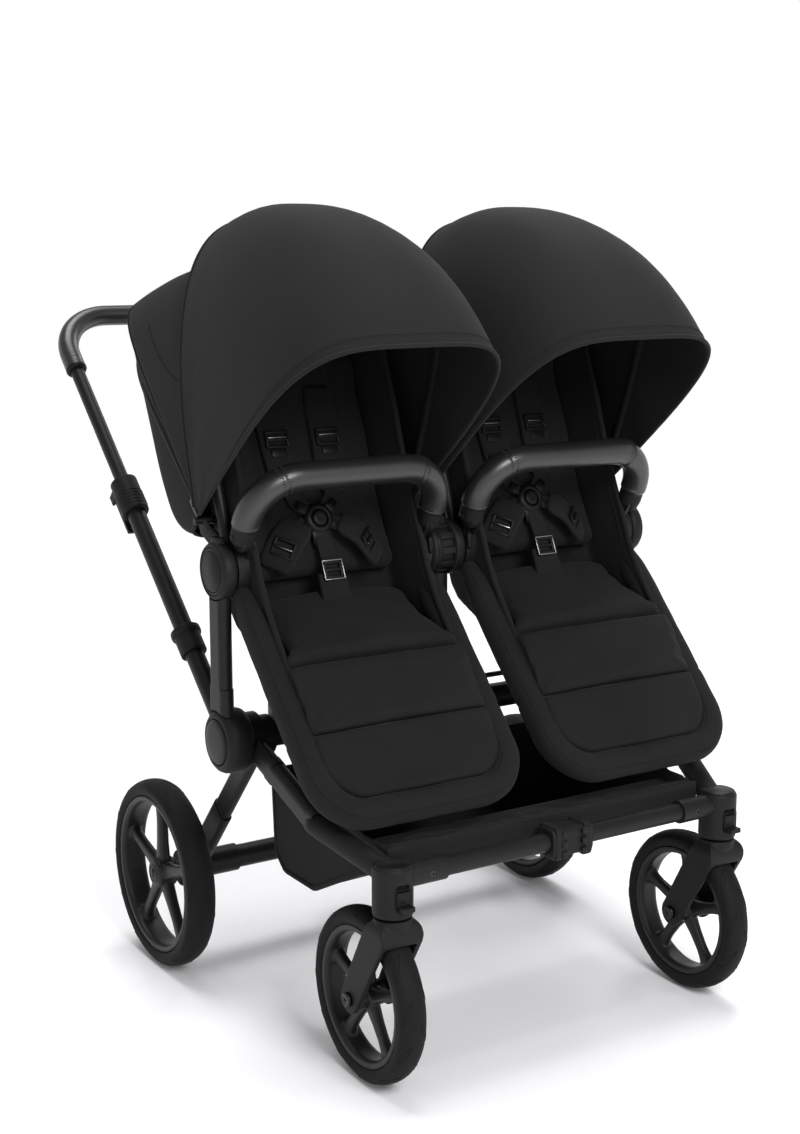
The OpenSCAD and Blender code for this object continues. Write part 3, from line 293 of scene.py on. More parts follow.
# %% Floor and sky
FLOOR_HALF = 9.0
FLOOR_TURNS = ((-1, -1), (1, -1), (1, 1), (-1, 1))
floor_finish = new_finish("pale_floor", 0.955, 0.965, (0.80, 0.90), 0.05, cloud_scale=2.0)[0]
floor_corners = [Vector((a * FLOOR_HALF, b * FLOOR_HALF, 0)) for a, b in FLOOR_TURNS]
floor = make_piece("floor", (floor_corners, [(0, 1, 2, 3)]), floor_finish)
sky = bpy.data.worlds.new("studio_white")
sky.use_nodes = True
SKY_FADE = {"From Min": 0.16, "From Max": 0.50, "To Min": 1.0, "To Max": 0.36}
backdrop = sky.node_tree.nodes["Background"]
backdrop.inputs["Color"].default_value = (1, 1, 1, 1)
sky_way = add_node(sky, "ShaderNodeTexCoord")
sky_parts = add_node(sky, "ShaderNodeSeparateXYZ")
sky_fade = add_node(sky, "ShaderNodeMapRange", SKY_FADE)
link(sky, sky_way.outputs["Generated"], sky_parts.inputs["Vector"])
link(sky, sky_parts.outputs["Z"], sky_fade.inputs["Value"])
link(sky, sky_fade.outputs["Result"], backdrop.inputs["Strength"])
scene.world = sky
scene.view_settings.view_transform = "Standard"
print("floor", 2 * FLOOR_HALF, "m wide")


# %% Lamps
def aimed(name, lamp_data, place, target):
    lamp = bpy.data.objects.new(name, lamp_data)
    lamp.location = place
    lamp.rotation_euler = (target - place).to_track_quat("-Z", "Y").to_euler()
    scene.collection.objects.link(lamp)


def soft_lamp(name, place, target, size, watts):
    lamp_data = bpy.data.lights.new(name, "AREA")
    lamp_data.shape = "DISK"
    lamp_data.size = size
    lamp_data.energy = watts
    aimed(name, lamp_data, place, target)


soft_lamp("front_lamp", Vector((-0.3, -2.6, 2.1)), Vector((0, -0.1, 0.6)), 1.2, 60)
soft_lamp("rim_lamp", Vector((1.9, 1.2, 2.4)), Vector((0, 0, 0.7)), 1.0, 12)
top_light = bpy.data.lights.new("top_light", "SUN")
top_light.energy = 2.0
top_light.angle = math.radians(36)
aimed("top_light", top_light, Vector((0.2, 0.7, 3.0)), Vector((0, 0, 0)))
print("studio ready")

# %% [markdown]
# ## Wheels
# A stroller wheel is one moulding: a rim, a hub and five thick spokes that flow into both. Spokes are
# swept ovals that swell at their ends. The rim and hub are turned profiles. All of it is fused into
# one skin and smoothed, which leaves the same soft hollows at the roots that a mould has.

# %% Faces over rows of points
def grid_faces(rows, columns, ring=False, loop=False):
    """Quads over rows of points; ring closes each row, loop joins the last row to the first."""
    faces = []
    for row in range(rows if loop else rows - 1):
        here = row * columns
        there = (row + 1) % rows * columns
        for column in range(columns if ring else columns - 1):
            after = (column + 1) % columns
            faces.append((here + column, here + after, there + after, there + column))
    return faces


def merge(*shapes):
    points, faces = [], []
    for more_points, more_faces in shapes:
        start = len(points)
        points += list(more_points)
        faces += [tuple(i + start for i in face) for face in more_faces]
    return points, faces


print("a grid of 3 by 4 points has", len(grid_faces(3, 4)), "faces")


# %% Sections, sweeps and turned profiles
def oval(width, height, sides=20, power=2.0):
    """A closed section: power 2 is an ellipse, more is nearer to a rectangle."""
    section = []
    for step in range(sides):
        turn = 2 * math.pi * step / sides
        c, s = math.cos(turn), math.sin(turn)
        section.append((
            width / 2 * math.copysign(abs(c) ** (2 / power), c),
            height / 2 * math.copysign(abs(s) ** (2 / power), s),
        ))
    return section


def swept(path, section, up, sizes=None, closed=False):
    """A section carried along a path; up is one direction, or one for each point of the path."""
    points = []
    last = len(path) - 1
    for i, centre in enumerate(path):
        before = path[i - 1] if closed or i else path[0]
        after = path[(i + 1) % len(path)] if closed or i < last else path[last]
        ahead = after - before
        upward = up[i] if isinstance(up, list) else up
        across = ahead.cross(upward).normalized()
        rise = across.cross(ahead).normalized()
        size = sizes[i] if sizes else 1
        points += [centre + (across * a + rise * b) * size for a, b in section]
    faces = grid_faces(len(path), len(section), ring=True, loop=closed)
    if not closed:
        count = len(section)
        faces += [tuple(range(count)), tuple(range(len(points) - count, len(points)))]
    return points, faces


def turned(centre, axis, profile, segments=72, closed=False):
    """A profile of (distance along the axis, radius) turned about that axis."""
    across = Z if abs(axis.x) > 0.9 else X
    third = axis.cross(across)
    points = []
    for step in range(segments):
        turn = 2 * math.pi * step / segments
        out = across * math.cos(turn) + third * math.sin(turn)
        points += [centre + axis * along + out * radius for along, radius in profile]
    return points, grid_faces(segments, len(profile), ring=closed, loop=True)


print("a round section has", len(oval(1, 1)), "points")


# %% One skin with soft edges
def bake_modifiers(piece):
    bpy.context.view_layer.update()
    baked = bpy.data.meshes.new_from_object(piece.evaluated_get(bpy.context.evaluated_depsgraph_get()))
    piece.modifiers.clear()
    old = piece.data
    piece.data = baked
    bpy.data.meshes.remove(old)
    return piece


def mould(piece, voxel, passes):
    """Fuses a piece into one skin and rounds its edges, as a mould would."""
    skin = piece.modifiers.new("skin", "REMESH")
    skin.mode = "VOXEL"
    skin.voxel_size = voxel
    skin.use_smooth_shade = True
    soft = piece.modifiers.new("soft", "SMOOTH")
    soft.factor = 0.5
    soft.iterations = passes
    return bake_modifiers(piece)


# %% Dress a piece
def dress(piece, body, slot, *nodes):
    """Every piece rides on a body and may stand for CAD nodes. The slot argument is not used."""
    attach(piece, body)
    if nodes:
        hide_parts(*nodes)
    return piece


def add_piece(name, shape, finish, body, slot, *nodes, sharp_deg=None):
    return dress(make_piece(name, shape, finish, sharp_deg=sharp_deg), body, slot, *nodes)


# %% Spokes
def spoke(centre, turn, hub_radius, rim_radius, depth):
    """One spoke: thick at the hub, slim half way, flared at the rim."""
    out = Y * math.sin(turn) + Z * math.cos(turn)
    length = rim_radius - hub_radius
    stations = [
        (hub_radius * 0.35, 0.028, 1.1),
        (hub_radius, 0.025, 1.05),
        (hub_radius + 0.30 * length, 0.019, 0.95),
        (hub_radius + 0.62 * length, 0.017, 0.9),
        (rim_radius - 0.016, 0.019, 0.95),
        (rim_radius - 0.002, 0.027, 1.0),
    ]
    points = []
    sides = 16
    for far, width, thick in stations:
        for across, along in oval(width, depth * thick, sides, 2.8):
            points.append(centre + out * far + out.cross(X) * across + X * along)
    faces = grid_faces(len(stations), sides, ring=True)
    faces += [tuple(range(sides)), tuple(range(len(points) - sides, len(points)))]
    return points, faces


# %% Rims
TYRE_HEIGHT = 0.021
SPOKES = 5


def rim_shape(centre, rim_radius, half, hub_radius, hub_half, bore):
    well = rim_radius - 0.004
    ring_profile = [
        (-half, rim_radius - 0.001), (-half + 0.005, well), (half - 0.005, well), (half, rim_radius - 0.001),
        (half - 0.001, rim_radius - 0.010), (half - 0.007, rim_radius - 0.013),
        (-half + 0.007, rim_radius - 0.013), (-half + 0.001, rim_radius - 0.010),
    ]
    hub_profile = [
        (-hub_half, bore), (-hub_half, hub_radius - 0.004), (-hub_half + 0.004, hub_radius),
        (hub_half - 0.004, hub_radius), (hub_half, hub_radius - 0.004), (hub_half, bore),
    ]
    spoke_turns = [2 * math.pi * n / SPOKES for n in range(SPOKES)]
    spokes = [spoke(centre, turn, hub_radius, rim_radius - 0.010, 0.85 * half) for turn in spoke_turns]
    return merge(
        turned(centre, X, ring_profile, 120, closed=True),
        turned(centre, X, hub_profile, 48, closed=True),
        *spokes,
    )


WHEELS = {
    "rear": {"hub_radius": 0.023, "hub_half": 0.017, "bore": 0.0061},
    "front": {"hub_radius": 0.017, "hub_half": 0.023, "bore": 0.0051},
}


def wheel_numbers(kind, side):
    low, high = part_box(f"{kind}_tyre_{side}")
    return (low + high) / 2, (high.z - low.z) / 2, (high.x - low.x) / 2


for kind, hub in WHEELS.items():
    for side in SIDES:
        centre, radius, half = wheel_numbers(kind, side)
        shape = rim_shape(centre, radius - TYRE_HEIGHT, half - 0.002, **hub)
        rim = make_piece(f"{kind}_spoked_rim_{side}", shape, rim_moulded)
        mould(rim, 0.0020, 7)
        dress(rim, f"{kind}_wheel_{side}", "rim_black", f"{kind}_rim_{side}")
    print(kind, "rims of radius", round(radius - TYRE_HEIGHT, 4), "m")

# %% [markdown]
# ## Tyres
# The tyres are solid rubber with a round tread. Fine raised leaf lines run over the shoulders, as the
# photograph shows. Bump could draw them, but real ribs also show at the tyre's outline, so each line
# is a thin sweep that follows the tyre's own curve.

# %% Tyres with leaf lines
TYRE_CROWN = TYRE_HEIGHT * 0.62
LEAVES = 12
RIB_RADIUS = 0.0006


def tread_point(centre, radius, half, turn, lean, lift=0.0):
    """A point on the tyre: turn goes round the wheel, lean goes from one bead over the tread to the other."""
    out = radius - TYRE_CROWN + (TYRE_CROWN + lift) * math.cos(lean)
    along = (half + lift) * math.sin(lean)
    return centre + X * along + (Z * math.cos(turn) + Y * math.sin(turn)) * out


def tyre_shape(centre, radius, half):
    base = radius - TYRE_HEIGHT
    profile = [(-half + 0.005, base - 0.0028), (-half + 0.0015, base)]
    for step in range(25):
        lean = math.radians(-90 + 7.5 * step)
        profile.append((half * math.sin(lean), radius - TYRE_CROWN + TYRE_CROWN * math.cos(lean)))
    profile += [(half - 0.0015, base), (half - 0.005, base - 0.0028)]
    return turned(centre, X, profile, 160, closed=True)


def leaf_lines(centre, radius, half):
    """Pairs of ribs that open and close like a leaf, on both shoulders."""
    ribs = []
    for n in range(LEAVES):
        for shoulder in (-1, 1):
            for bow in (-1, 1):
                path, ups = [], []
                for step in range(15):
                    share = step / 14
                    lean = math.radians(shoulder * (74 - 62 * share))
                    turn = 2 * math.pi * (n + 0.5 * (shoulder > 0)) / LEAVES
                    turn += 0.30 * share + bow * 0.055 * math.sin(math.pi * share)
                    path.append(tread_point(centre, radius, half, turn, lean))
                    ups.append((tread_point(centre, radius, half, turn, lean, 0.01) - path[-1]).normalized())
                ribs.append(swept(path, oval(2 * RIB_RADIUS, 2 * RIB_RADIUS, 6), ups))
    return merge(*ribs)


for kind in WHEELS:
    for side in SIDES:
        numbers = wheel_numbers(kind, side)
        add_piece(
            f"{kind}_solid_tyre_{side}", tyre_shape(*numbers), rubber,
            f"{kind}_wheel_{side}", "tyre", f"{kind}_tyre_{side}",
        )
        add_piece(
            f"{kind}_tread_lines_{side}", leaf_lines(*numbers), rubber,
            f"{kind}_wheel_{side}", "tyre",
        )
    print(kind, "tyres with", 4 * LEAVES, "leaf lines each")

# %% [markdown]
# ## Canopies
# A canopy is two cloth panels on wire bows that fan out from one pivot. A bow is a rounded rectangle,
# nearly round at the front panel's crown and nearly square at the back. A panel is drawn bow by bow,
# so the cloth is taut between them as it is on the real one. A slow noise of a millimetre or two
# keeps it from looking like sheet metal.

# %% Bows
CLOTH_THICK = 0.003
FRONT_REACH, FRONT_HALF = 0.436, 0.177
REAR_REACH, REAR_HALF = 0.373, 0.164
BACK_FAR, BACK_LEAN_DEG = 0.150, 66.0
FRONT_HEM_DEG = 40.0
FRONT_FULL_DEG = 93.0
FRONT_SEAM_DEG = 104.5
REAR_START_DEG = 103.5
REAR_TURN_DEG = 135.0
FLAP_DEG = 176.0
REAR_END_DEG = 206.0
BOW_FOOT = 0.020


def bow_point(pivot, angle_deg, swing, half, radius, power, flare=0.0):
    """A point of a bow: swing goes from 0 at one foot over the rider to 1 at the other."""
    foot = math.atan2(BOW_FOOT, half)
    turn = foot + (math.pi - 2 * foot) * swing
    c, s = math.cos(turn), math.sin(turn)
    reach = ((abs(c) / half) ** power + (s / radius) ** power) ** (-1 / power)
    height = reach * s
    across = reach * c * (1 + flare * height / (radius * half))
    angle = math.radians(angle_deg)
    return pivot + Vector((across, -height * math.cos(angle), height * math.sin(angle)))


def slow_wave(angle_deg, swing, seed):
    """A gentle unevenness of the cloth, the same in every run."""
    return 0.0016 * noise.noise(Vector((angle_deg * 0.045, swing * 7.0, seed)))


# %% The two panels as surfaces
def front_panel(pivot, angle_deg, swing, inset=0.0):
    share = (FRONT_FULL_DEG - angle_deg) / (FRONT_FULL_DEG - FRONT_HEM_DEG)
    drawn = max(share, 0.0)
    radius = FRONT_REACH - 0.043 * abs(share) ** 1.2
    inset -= slow_wave(angle_deg, swing, 3.0)
    power, flare = 2.9 + 1.2 * drawn, 0.009 * drawn
    return bow_point(pivot, angle_deg, swing, FRONT_HALF - inset, radius - inset, power, flare)


def flat_back_radius(angle_deg):
    """Distance from the pivot to the plane of the canopy's flat back."""
    lean, angle = math.radians(BACK_LEAN_DEG), math.radians(angle_deg)
    return BACK_FAR / (-math.sin(lean) * math.cos(angle) - math.cos(lean) * math.sin(angle))


def rear_panel(pivot, angle_deg, swing, inset=0.0):
    if angle_deg >= REAR_TURN_DEG:
        share = (angle_deg - REAR_TURN_DEG) / (REAR_END_DEG - REAR_TURN_DEG)
        rounding = max(angle_deg - FLAP_DEG, 0.0) / (REAR_END_DEG - FLAP_DEG)
        radius = flat_back_radius(angle_deg) * (1 - 0.36 * rounding ** 2.5)
        power = 8.0 - 5.0 * share
    else:
        share = (angle_deg - REAR_START_DEG) / (REAR_TURN_DEG - REAR_START_DEG)
        radius = REAR_REACH + (flat_back_radius(REAR_TURN_DEG) - REAR_REACH) * share ** 2
        power = 4.5 + 3.5 * share
    inset -= slow_wave(angle_deg, swing, 8.0)
    half = REAR_HALF + 0.004 * share
    return bow_point(pivot, angle_deg, swing, half - inset, radius - inset, power)


crown = front_panel(canopy_pivot["left"], FRONT_FULL_DEG, 0.5)
print("the front panel's crown is", round(crown.z, 3), "m above the floor")


# %% Cloth with two sides
def steps(first, last, count):
    return [first + (last - first) * i / (count - 1) for i in range(count)]


def path_length(path):
    return sum((b - a).length for a, b in zip(path, path[1:]))


def closed_sheet(top, under, rows, columns):
    """A closed shape from two grids of points: the top's faces first, then those below, then the edges."""
    count = len(top)
    skin = grid_faces(rows, columns)
    below = [tuple(i + count for i in reversed(face)) for face in skin]
    rim = list(range(columns))
    rim += [row * columns + columns - 1 for row in range(1, rows)]
    rim += [(rows - 1) * columns + column for column in range(columns - 2, -1, -1)]
    rim += [row * columns for row in range(rows - 2, 0, -1)]
    edge = [(rim[i - 1], rim[i], rim[i] + count, rim[i - 1] + count) for i in range(len(rim))]
    return top + under, skin + below + edge


def cloth_shell(surface, pivot, angles, columns, thick):
    """Both sides of a panel, and how many faces the outer side has."""
    swings = steps(0.0, 1.0, columns)
    outer = [surface(pivot, angle, swing) for angle in angles for swing in swings]
    inner = [surface(pivot, angle, swing, thick) for angle in angles for swing in swings]
    rows = len(angles)
    return closed_sheet(outer, inner, rows, columns), (rows - 1) * (columns - 1)


def panel_sizes(surface, pivot, angles, columns):
    """Longest way across, longest way along, and the area of one side of the cloth."""
    swings = steps(0.0, 1.0, columns)
    grid = [[surface(pivot, angle, swing) for swing in swings] for angle in angles]
    across = max(path_length(row) for row in grid)
    along = max(path_length(line) for line in zip(*grid))
    area = 0.0
    for low, high in zip(grid, grid[1:]):
        for i in range(columns - 1):
            area += (low[i + 1] - low[i]).cross(high[i] - low[i]).length / 2
            area += (high[i + 1] - low[i + 1]).cross(high[i + 1] - high[i]).length / 2
    return across, along, area


def panel_normal(surface, pivot, angle_deg, swing):
    here = surface(pivot, angle_deg, swing)
    return (here - surface(pivot, angle_deg, swing, 0.004)).normalized()


# %% Front panels with lining
FRONT_ANGLES = steps(FRONT_HEM_DEG, FRONT_SEAM_DEG, 44)
PANEL_COLUMNS = 97


def two_sided(piece, skin_faces):
    for face in piece.data.polygons[skin_faces:2 * skin_faces]:
        face.material_index = 1


for side in SIDES:
    pivot = canopy_pivot[side]
    shape, skin_faces = cloth_shell(front_panel, pivot, FRONT_ANGLES, PANEL_COLUMNS, CLOTH_THICK)
    panel = make_piece(f"canopy_front_panel_{side}", shape, canopy_cloth, lining_cloth, sharp_deg=70)
    two_sided(panel, skin_faces)
    dress(panel, f"canopy_{side}", "canopy_fabric", f"canopy_front_{side}")
    across, along, area = panel_sizes(front_panel, pivot, FRONT_ANGLES, PANEL_COLUMNS)
print("front panel", round(across, 3), "by", round(along, 3), "m, area", round(area, 4), "m2")

# %% [markdown]
# ## Rear panels
# The rear panel's front edge is sewn to the front panel and its back is held on the seat. Here the
# panel is only fixed where it is drawn and rides on no body, so it does not move when the canopy
# folds.

# %% Rear panels
REAR_ANGLES = steps(REAR_START_DEG, REAR_TURN_DEG, 18) + steps(REAR_TURN_DEG, REAR_END_DEG, 30)[1:]


def follow_canopy(piece):
    """Fixes the piece where it is drawn; it rides on no body."""
    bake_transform(piece)


for side in SIDES:
    pivot = canopy_pivot[side]
    shape, skin_faces = cloth_shell(rear_panel, pivot, REAR_ANGLES, PANEL_COLUMNS, CLOTH_THICK)
    panel = make_piece(f"canopy_rear_panel_{side}", shape, canopy_cloth, lining_cloth, sharp_deg=80)
    two_sided(panel, skin_faces)
    follow_canopy(panel)
    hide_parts(f"canopy_rear_{side}")
    across, along, area = panel_sizes(rear_panel, pivot, REAR_ANGLES, PANEL_COLUMNS)
print("rear panel", round(across, 3), "by", round(along, 3), "m, area", round(area, 4), "m2")

# %% [markdown]
# ## Vents
# The front panel stands higher than the rear panel. Canopies of this kind close such a step with a
# strip of mesh that lets air in. Both edges are known curves, so the strip is drawn straight between
# them, and a coarse weave stands for the mesh.

# %% Vent panels over the step between the two panels
VENT_THICK, VENT_INSET = 0.0024, 0.0016
VENT_SWINGS = steps(0.04, 0.96, 121)
vent_angle = math.radians(REAR_START_DEG)
vent_back = Vector((0, math.sin(vent_angle), math.cos(vent_angle))) * VENT_THICK
for side in SIDES:
    pivot = canopy_pivot[side]
    upper = [front_panel(pivot, REAR_START_DEG, swing, VENT_INSET) for swing in VENT_SWINGS]
    lower = [rear_panel(pivot, REAR_START_DEG, swing, VENT_INSET) for swing in VENT_SWINGS]
    points = []
    for a, b in zip(upper, lower):
        points += [a, b, b + vent_back, a + vent_back]
    last = len(points)
    faces = grid_faces(len(VENT_SWINGS), 4, ring=True)
    faces += [(0, 1, 2, 3), (last - 4, last - 3, last - 2, last - 1)]
    vent = add_piece(
        f"canopy_vent_{side}", (points, faces), webbing,
        f"canopy_{side}", "canopy_fabric", sharp_deg=40,
    )
    across = path_length(upper)
    along = max((a - b).length for a, b in zip(upper, lower))
    area = 0.0
    for i in range(len(upper) - 1):
        middle = ((upper[i] - lower[i]).length + (upper[i + 1] - lower[i + 1]).length) / 2
        area += (upper[i + 1] - upper[i]).length * middle
print("vent panel", round(across, 3), "by", round(along, 3), "m, area", round(area, 4), "m2")

# %% [markdown]
# ## Hem, seams and zip
# A folded hem with piping closes the canopy's front edge. Welts stand along the seams, and a zip runs
# down the edge of the flat back, where the real canopy opens for air. All of them are thin sweeps
# that lie on the panel's own surface.

# %% Lines that lie on a panel
STITCH_PITCH = 0.0042


def line_on(surface, pivot, track):
    """Points and upward directions for a track of (angle, swing) on a panel."""
    path = [surface(pivot, angle, swing) for angle, swing in track]
    ups = [panel_normal(surface, pivot, angle, swing) for angle, swing in track]
    return path, ups


def welt(surface, pivot, track, width, height):
    path, ups = line_on(surface, pivot, track)
    return swept(path, oval(width, height, 10), ups)


def spaced(path, ups, pitch):
    """Points at an even pitch along a path, with the way ahead and up at each."""
    places, walked, due = [], 0.0, pitch / 2
    for (a, b), up in zip(zip(path, path[1:]), ups):
        length = (b - a).length
        while length > 0 and walked + length >= due:
            places.append((a + (b - a) * ((due - walked) / length), (b - a).normalized(), up))
            due += pitch
        walked += length
    return places


def stitch_row(path, ups, pitch=STITCH_PITCH, length=0.0030, thick=0.0007):
    """Short tapered threads along a path."""
    threads_made = []
    for place, ahead, up in spaced(path, ups, pitch):
        reach = ahead * length / 2
        raised = place + up * thick * 0.4
        line = [place - reach, raised - reach * 0.5, raised + reach * 0.5, place + reach]
        threads_made.append(swept(line, oval(thick, thick, 5), up, [0.4, 1, 1, 0.4]))
    return merge(*threads_made)


# %% Hems, their stitches and the bow sleeves
SWINGS = steps(0.0, 1.0, 161)
for side in SIDES:
    pivot = canopy_pivot[side]
    hem = welt(front_panel, pivot, [(FRONT_HEM_DEG, s) for s in SWINGS], 0.0062, 0.0056)
    fold = welt(front_panel, pivot, [(FRONT_HEM_DEG + 2.6, s) for s in SWINGS], 0.0016, 0.0012)
    seam = welt(front_panel, pivot, [(FRONT_SEAM_DEG, s) for s in SWINGS], 0.0046, 0.0042)
    add_piece(
        f"canopy_hem_{side}", merge(hem, fold, seam), canopy_cloth,
        f"canopy_{side}", "canopy_fabric",
    )
    path, ups = line_on(front_panel, pivot, [(FRONT_HEM_DEG + 2.1, s) for s in SWINGS])
    add_piece(
        f"canopy_hem_stitches_{side}", stitch_row(path, ups), thread,
        f"canopy_{side}", "canopy_fabric",
    )
    ribs = []
    for angle in (68.0, FRONT_SEAM_DEG - 1.5):
        path = [front_panel(pivot, angle, s, 0.0065) for s in SWINGS[3:-3]]
        ups = [panel_normal(front_panel, pivot, angle, s) for s in SWINGS[3:-3]]
        ribs.append(swept(path, oval(0.011, 0.008, 12), ups))
    add_piece(f"canopy_bow_sleeves_{side}", merge(*ribs), lining_cloth, f"canopy_{side}", "canopy_fabric")
print("hems sewn with a stitch every", STITCH_PITCH, "m")

# %% Where an arc seam runs
ARC_FROM, ARC_TO = (REAR_START_DEG + 1.0, 0.194), (124.0, 0.320)


def swing_at(surface, pivot, angle_deg, height):
    """The swing on the first side of a bow where it stands at a height over the pivot."""
    low, high = 0.0, 0.5
    for _ in range(30):
        middle = (low + high) / 2
        point = surface(pivot, angle_deg, middle) - pivot
        if math.hypot(point.y, point.z) < height:
            low = middle
        else:
            high = middle
    return low


# %% Zip teeth
ZIP_FROM, ZIP_TO = 0.03, 0.97
ZIP_PITCH = 0.0024


def block(centre, half, turn=None, bevel=0.001, segments=2):
    """A box with rounded edges: half sizes along the columns of the turn matrix."""
    box = bmesh.new()
    bmesh.ops.create_cube(box, size=2)
    bmesh.ops.scale(box, vec=half, verts=box.verts)
    bmesh.ops.bevel(
        box, geom=list(box.edges), offset=bevel, segments=segments, affect="EDGES", profile=0.5
    )
    box.verts.index_update()
    spin = turn or Matrix.Identity(3)
    points = [centre + spin @ vert.co for vert in box.verts]
    faces = [tuple(vert.index for vert in face.verts) for face in box.faces]
    box.free()
    return points, faces


def zip_teeth(path, ups):
    """Two interlocking rows of small blocks."""
    teeth = []
    for i, (place, ahead, up) in enumerate(spaced(path, ups, ZIP_PITCH)):
        away = ahead.cross(up).normalized()
        turn = Matrix((ahead, away, up)).transposed()
        shift = 0.0009 if i % 2 else -0.0009
        teeth.append(block(place + away * shift + up * 0.0012, (0.0008, 0.0019, 0.0010), turn, 0.0003, 1))
    return merge(*teeth)


# %% Back edges, zips and arc seams on the rear panels
for side in SIDES:
    pivot = canopy_pivot[side]
    turn_track = [(REAR_TURN_DEG, s) for s in SWINGS]
    lower_track = [(REAR_TURN_DEG + 4.2, ZIP_FROM + (ZIP_TO - ZIP_FROM) * s) for s in SWINGS]
    flap_track = [(REAR_END_DEG, s) for s in SWINGS]
    welts = [
        welt(rear_panel, pivot, turn_track, 0.0044, 0.0040),
        welt(rear_panel, pivot, flap_track, 0.0060, 0.0052),
    ]
    for foot in (0, 1):
        arc = []
        for t in steps(0.0, math.pi / 2, 30):
            angle = ARC_FROM[0] + (ARC_TO[0] - ARC_FROM[0]) * math.sin(t)
            height = ARC_TO[1] + (ARC_FROM[1] - ARC_TO[1]) * math.cos(t)
            arc.append((angle, abs(foot - swing_at(rear_panel, pivot, angle, height))))
        welts.append(welt(rear_panel, pivot, arc, 0.0022, 0.0020))
    edges = make_piece(f"canopy_back_welts_{side}", merge(*welts), canopy_cloth)
    follow_canopy(edges)
    path, ups = line_on(rear_panel, pivot, lower_track)
    tape = swept(path, oval(0.013, 0.0016, 8), ups)
    tape_piece = make_piece(f"canopy_zip_tape_{side}", tape, webbing)
    follow_canopy(tape_piece)
    teeth = make_piece(f"canopy_zip_teeth_{side}", zip_teeth(path, ups), half_gloss)
    follow_canopy(teeth)
    pull = []
    for end in (0, -1):
        place, up = path[end], ups[end]
        ahead = (path[1] - path[0] if end == 0 else path[-1] - path[-2]).normalized()
        spin = Matrix((ahead, ahead.cross(up), up)).transposed()
        pull.append(block(place + up * 0.003, (0.006, 0.005, 0.0025), spin, 0.0014))
        hang = -0.014 if end == 0 else 0.014
        pull.append(block(place + up * 0.0055 + ahead * hang, (0.012, 0.0035, 0.001), spin, 0.0008))
    pullers = make_piece(f"canopy_zip_pullers_{side}", merge(*pull), dark_steel)
    follow_canopy(pullers)
print("zips of", len(spaced(path, ups, ZIP_PITCH)), "teeth and a puller at each end")

# %% [markdown]
# ## Seat pads
# The pads are foam in cloth. Each starts as a plain closed shape a little smaller than the real pad.
# A short cloth simulation then blows it up from inside, which rounds the edges and lets the cloth
# pull between its seams. Seams are pressed in afterwards, where the real pad is sewn through.

# %% Lines of the seat, measured from its pivot
THIGH_LINE = [
    (0.002, -0.052), (-0.030, -0.066), (-0.070, -0.080),
    (-0.112, -0.095), (-0.134, -0.1045), (-0.144, -0.112),
]
CALF_LINE = [
    (-0.1445, -0.1090), (-0.158, -0.124), (-0.174, -0.146), (-0.191, -0.169), (-0.2055, -0.1875),
]
FOOT_LINE = [(-0.2060, -0.1880), (-0.220, -0.206), (-0.238, -0.230), (-0.252, -0.2495), (-0.263, -0.264)]
LINING_LINE = [(-0.184, -0.180), (-0.206, -0.206), (-0.226, -0.229), (-0.246, -0.254), (-0.266, -0.279)]
BACK_RISE = 0.4
BACK_FOOT = 0.021
BACK_UP, BACK_OUT = Vector((0, 0.3714, 0.9285)), Vector((0, -0.9285, 0.3714))
SEAT_HALF = 0.124
FOOTREST_HALF = 0.1385
FOOTREST_CORNER = 0.060
PAD_THICK = 0.022
EDGE_ROUND = 0.010


def on_seat(side, across, behind, above):
    """A point measured from the seat's own pivot."""
    return seat_pivot[side] + Vector((across, behind, above))


# %% Even steps along a line
def line_lengths(line):
    lengths = [0.0]
    for a, b in zip(line, line[1:]):
        lengths.append(lengths[-1] + math.dist(a, b))
    return lengths


def finer(line, count):
    """The same line with points at an even pitch."""
    lengths = line_lengths(line)
    made = []
    for want in steps(0.0, lengths[-1], count):
        i = max(k for k in range(len(line) - 1) if lengths[k] <= want)
        t = (want - lengths[i]) / (lengths[i + 1] - lengths[i])
        made.append(tuple(p + (q - p) * t for p, q in zip(line[i], line[i + 1])))
    return made


# %% A pad before stuffing
def rounded_width(half, left, corner):
    """Half width at a distance from a pad's end, with a round corner."""
    if left >= corner:
        return half
    return half - corner + math.sqrt(max(corner ** 2 - (corner - left) ** 2, 0.0))


def falling(left, reach, drop):
    """How far a surface has rolled down at a distance from its edge."""
    share = max(1 - left / reach, 0.0)
    return drop * (1 - math.sqrt(1 - share * share))


def pad_solid(line, halves, crown, corners, rolls, lift=None, thick=PAD_THICK, columns=49):
    """A pad of the left seat: a crowned face over a line of (behind, above) points, with rolled edges."""
    face, under = [], []
    lengths = line_lengths(line)
    for i, (behind, above) in enumerate(line):
        a, b = line[max(i - 2, 0)], line[min(i + 2, len(line) - 1)]
        ahead = Vector((0, b[0] - a[0], b[1] - a[1])).normalized()
        out = Vector((0, ahead.z, -ahead.y))
        past, left = lengths[i], lengths[-1] - lengths[i]
        width = min(
            rounded_width(halves[i], past + 0.002, corners[0]),
            rounded_width(halves[i], left + 0.002, corners[1]),
        )
        roll = falling(past, 1.6 * rolls[0], rolls[0]) + falling(left, 1.6 * rolls[1], rolls[1])
        for column in range(columns):
            share = math.sin(math.pi / 2 * (-1 + 2 * column / (columns - 1)))
            edge = falling((1 - abs(share)) * width, EDGE_ROUND, 0.007)
            raised = crown * (1 - abs(share) ** 2.6) - roll - edge
            if lift:
                raised += lift(share * width, left)
            centre = on_seat("left", share * width, behind, above)
            face.append(centre + out * raised)
            under.append(centre - out * (thick - 0.4 * edge))
    return closed_sheet(face, under, len(line), columns)


back_line = finer([(BACK_FOOT + BACK_RISE * z, z) for z in (0.290, -0.028)], 64)
print("back line of", len(back_line), "points, thigh line", round(line_lengths(THIGH_LINE)[-1], 3), "m")

# %% Stuffing
STUFF_FRAMES = 20


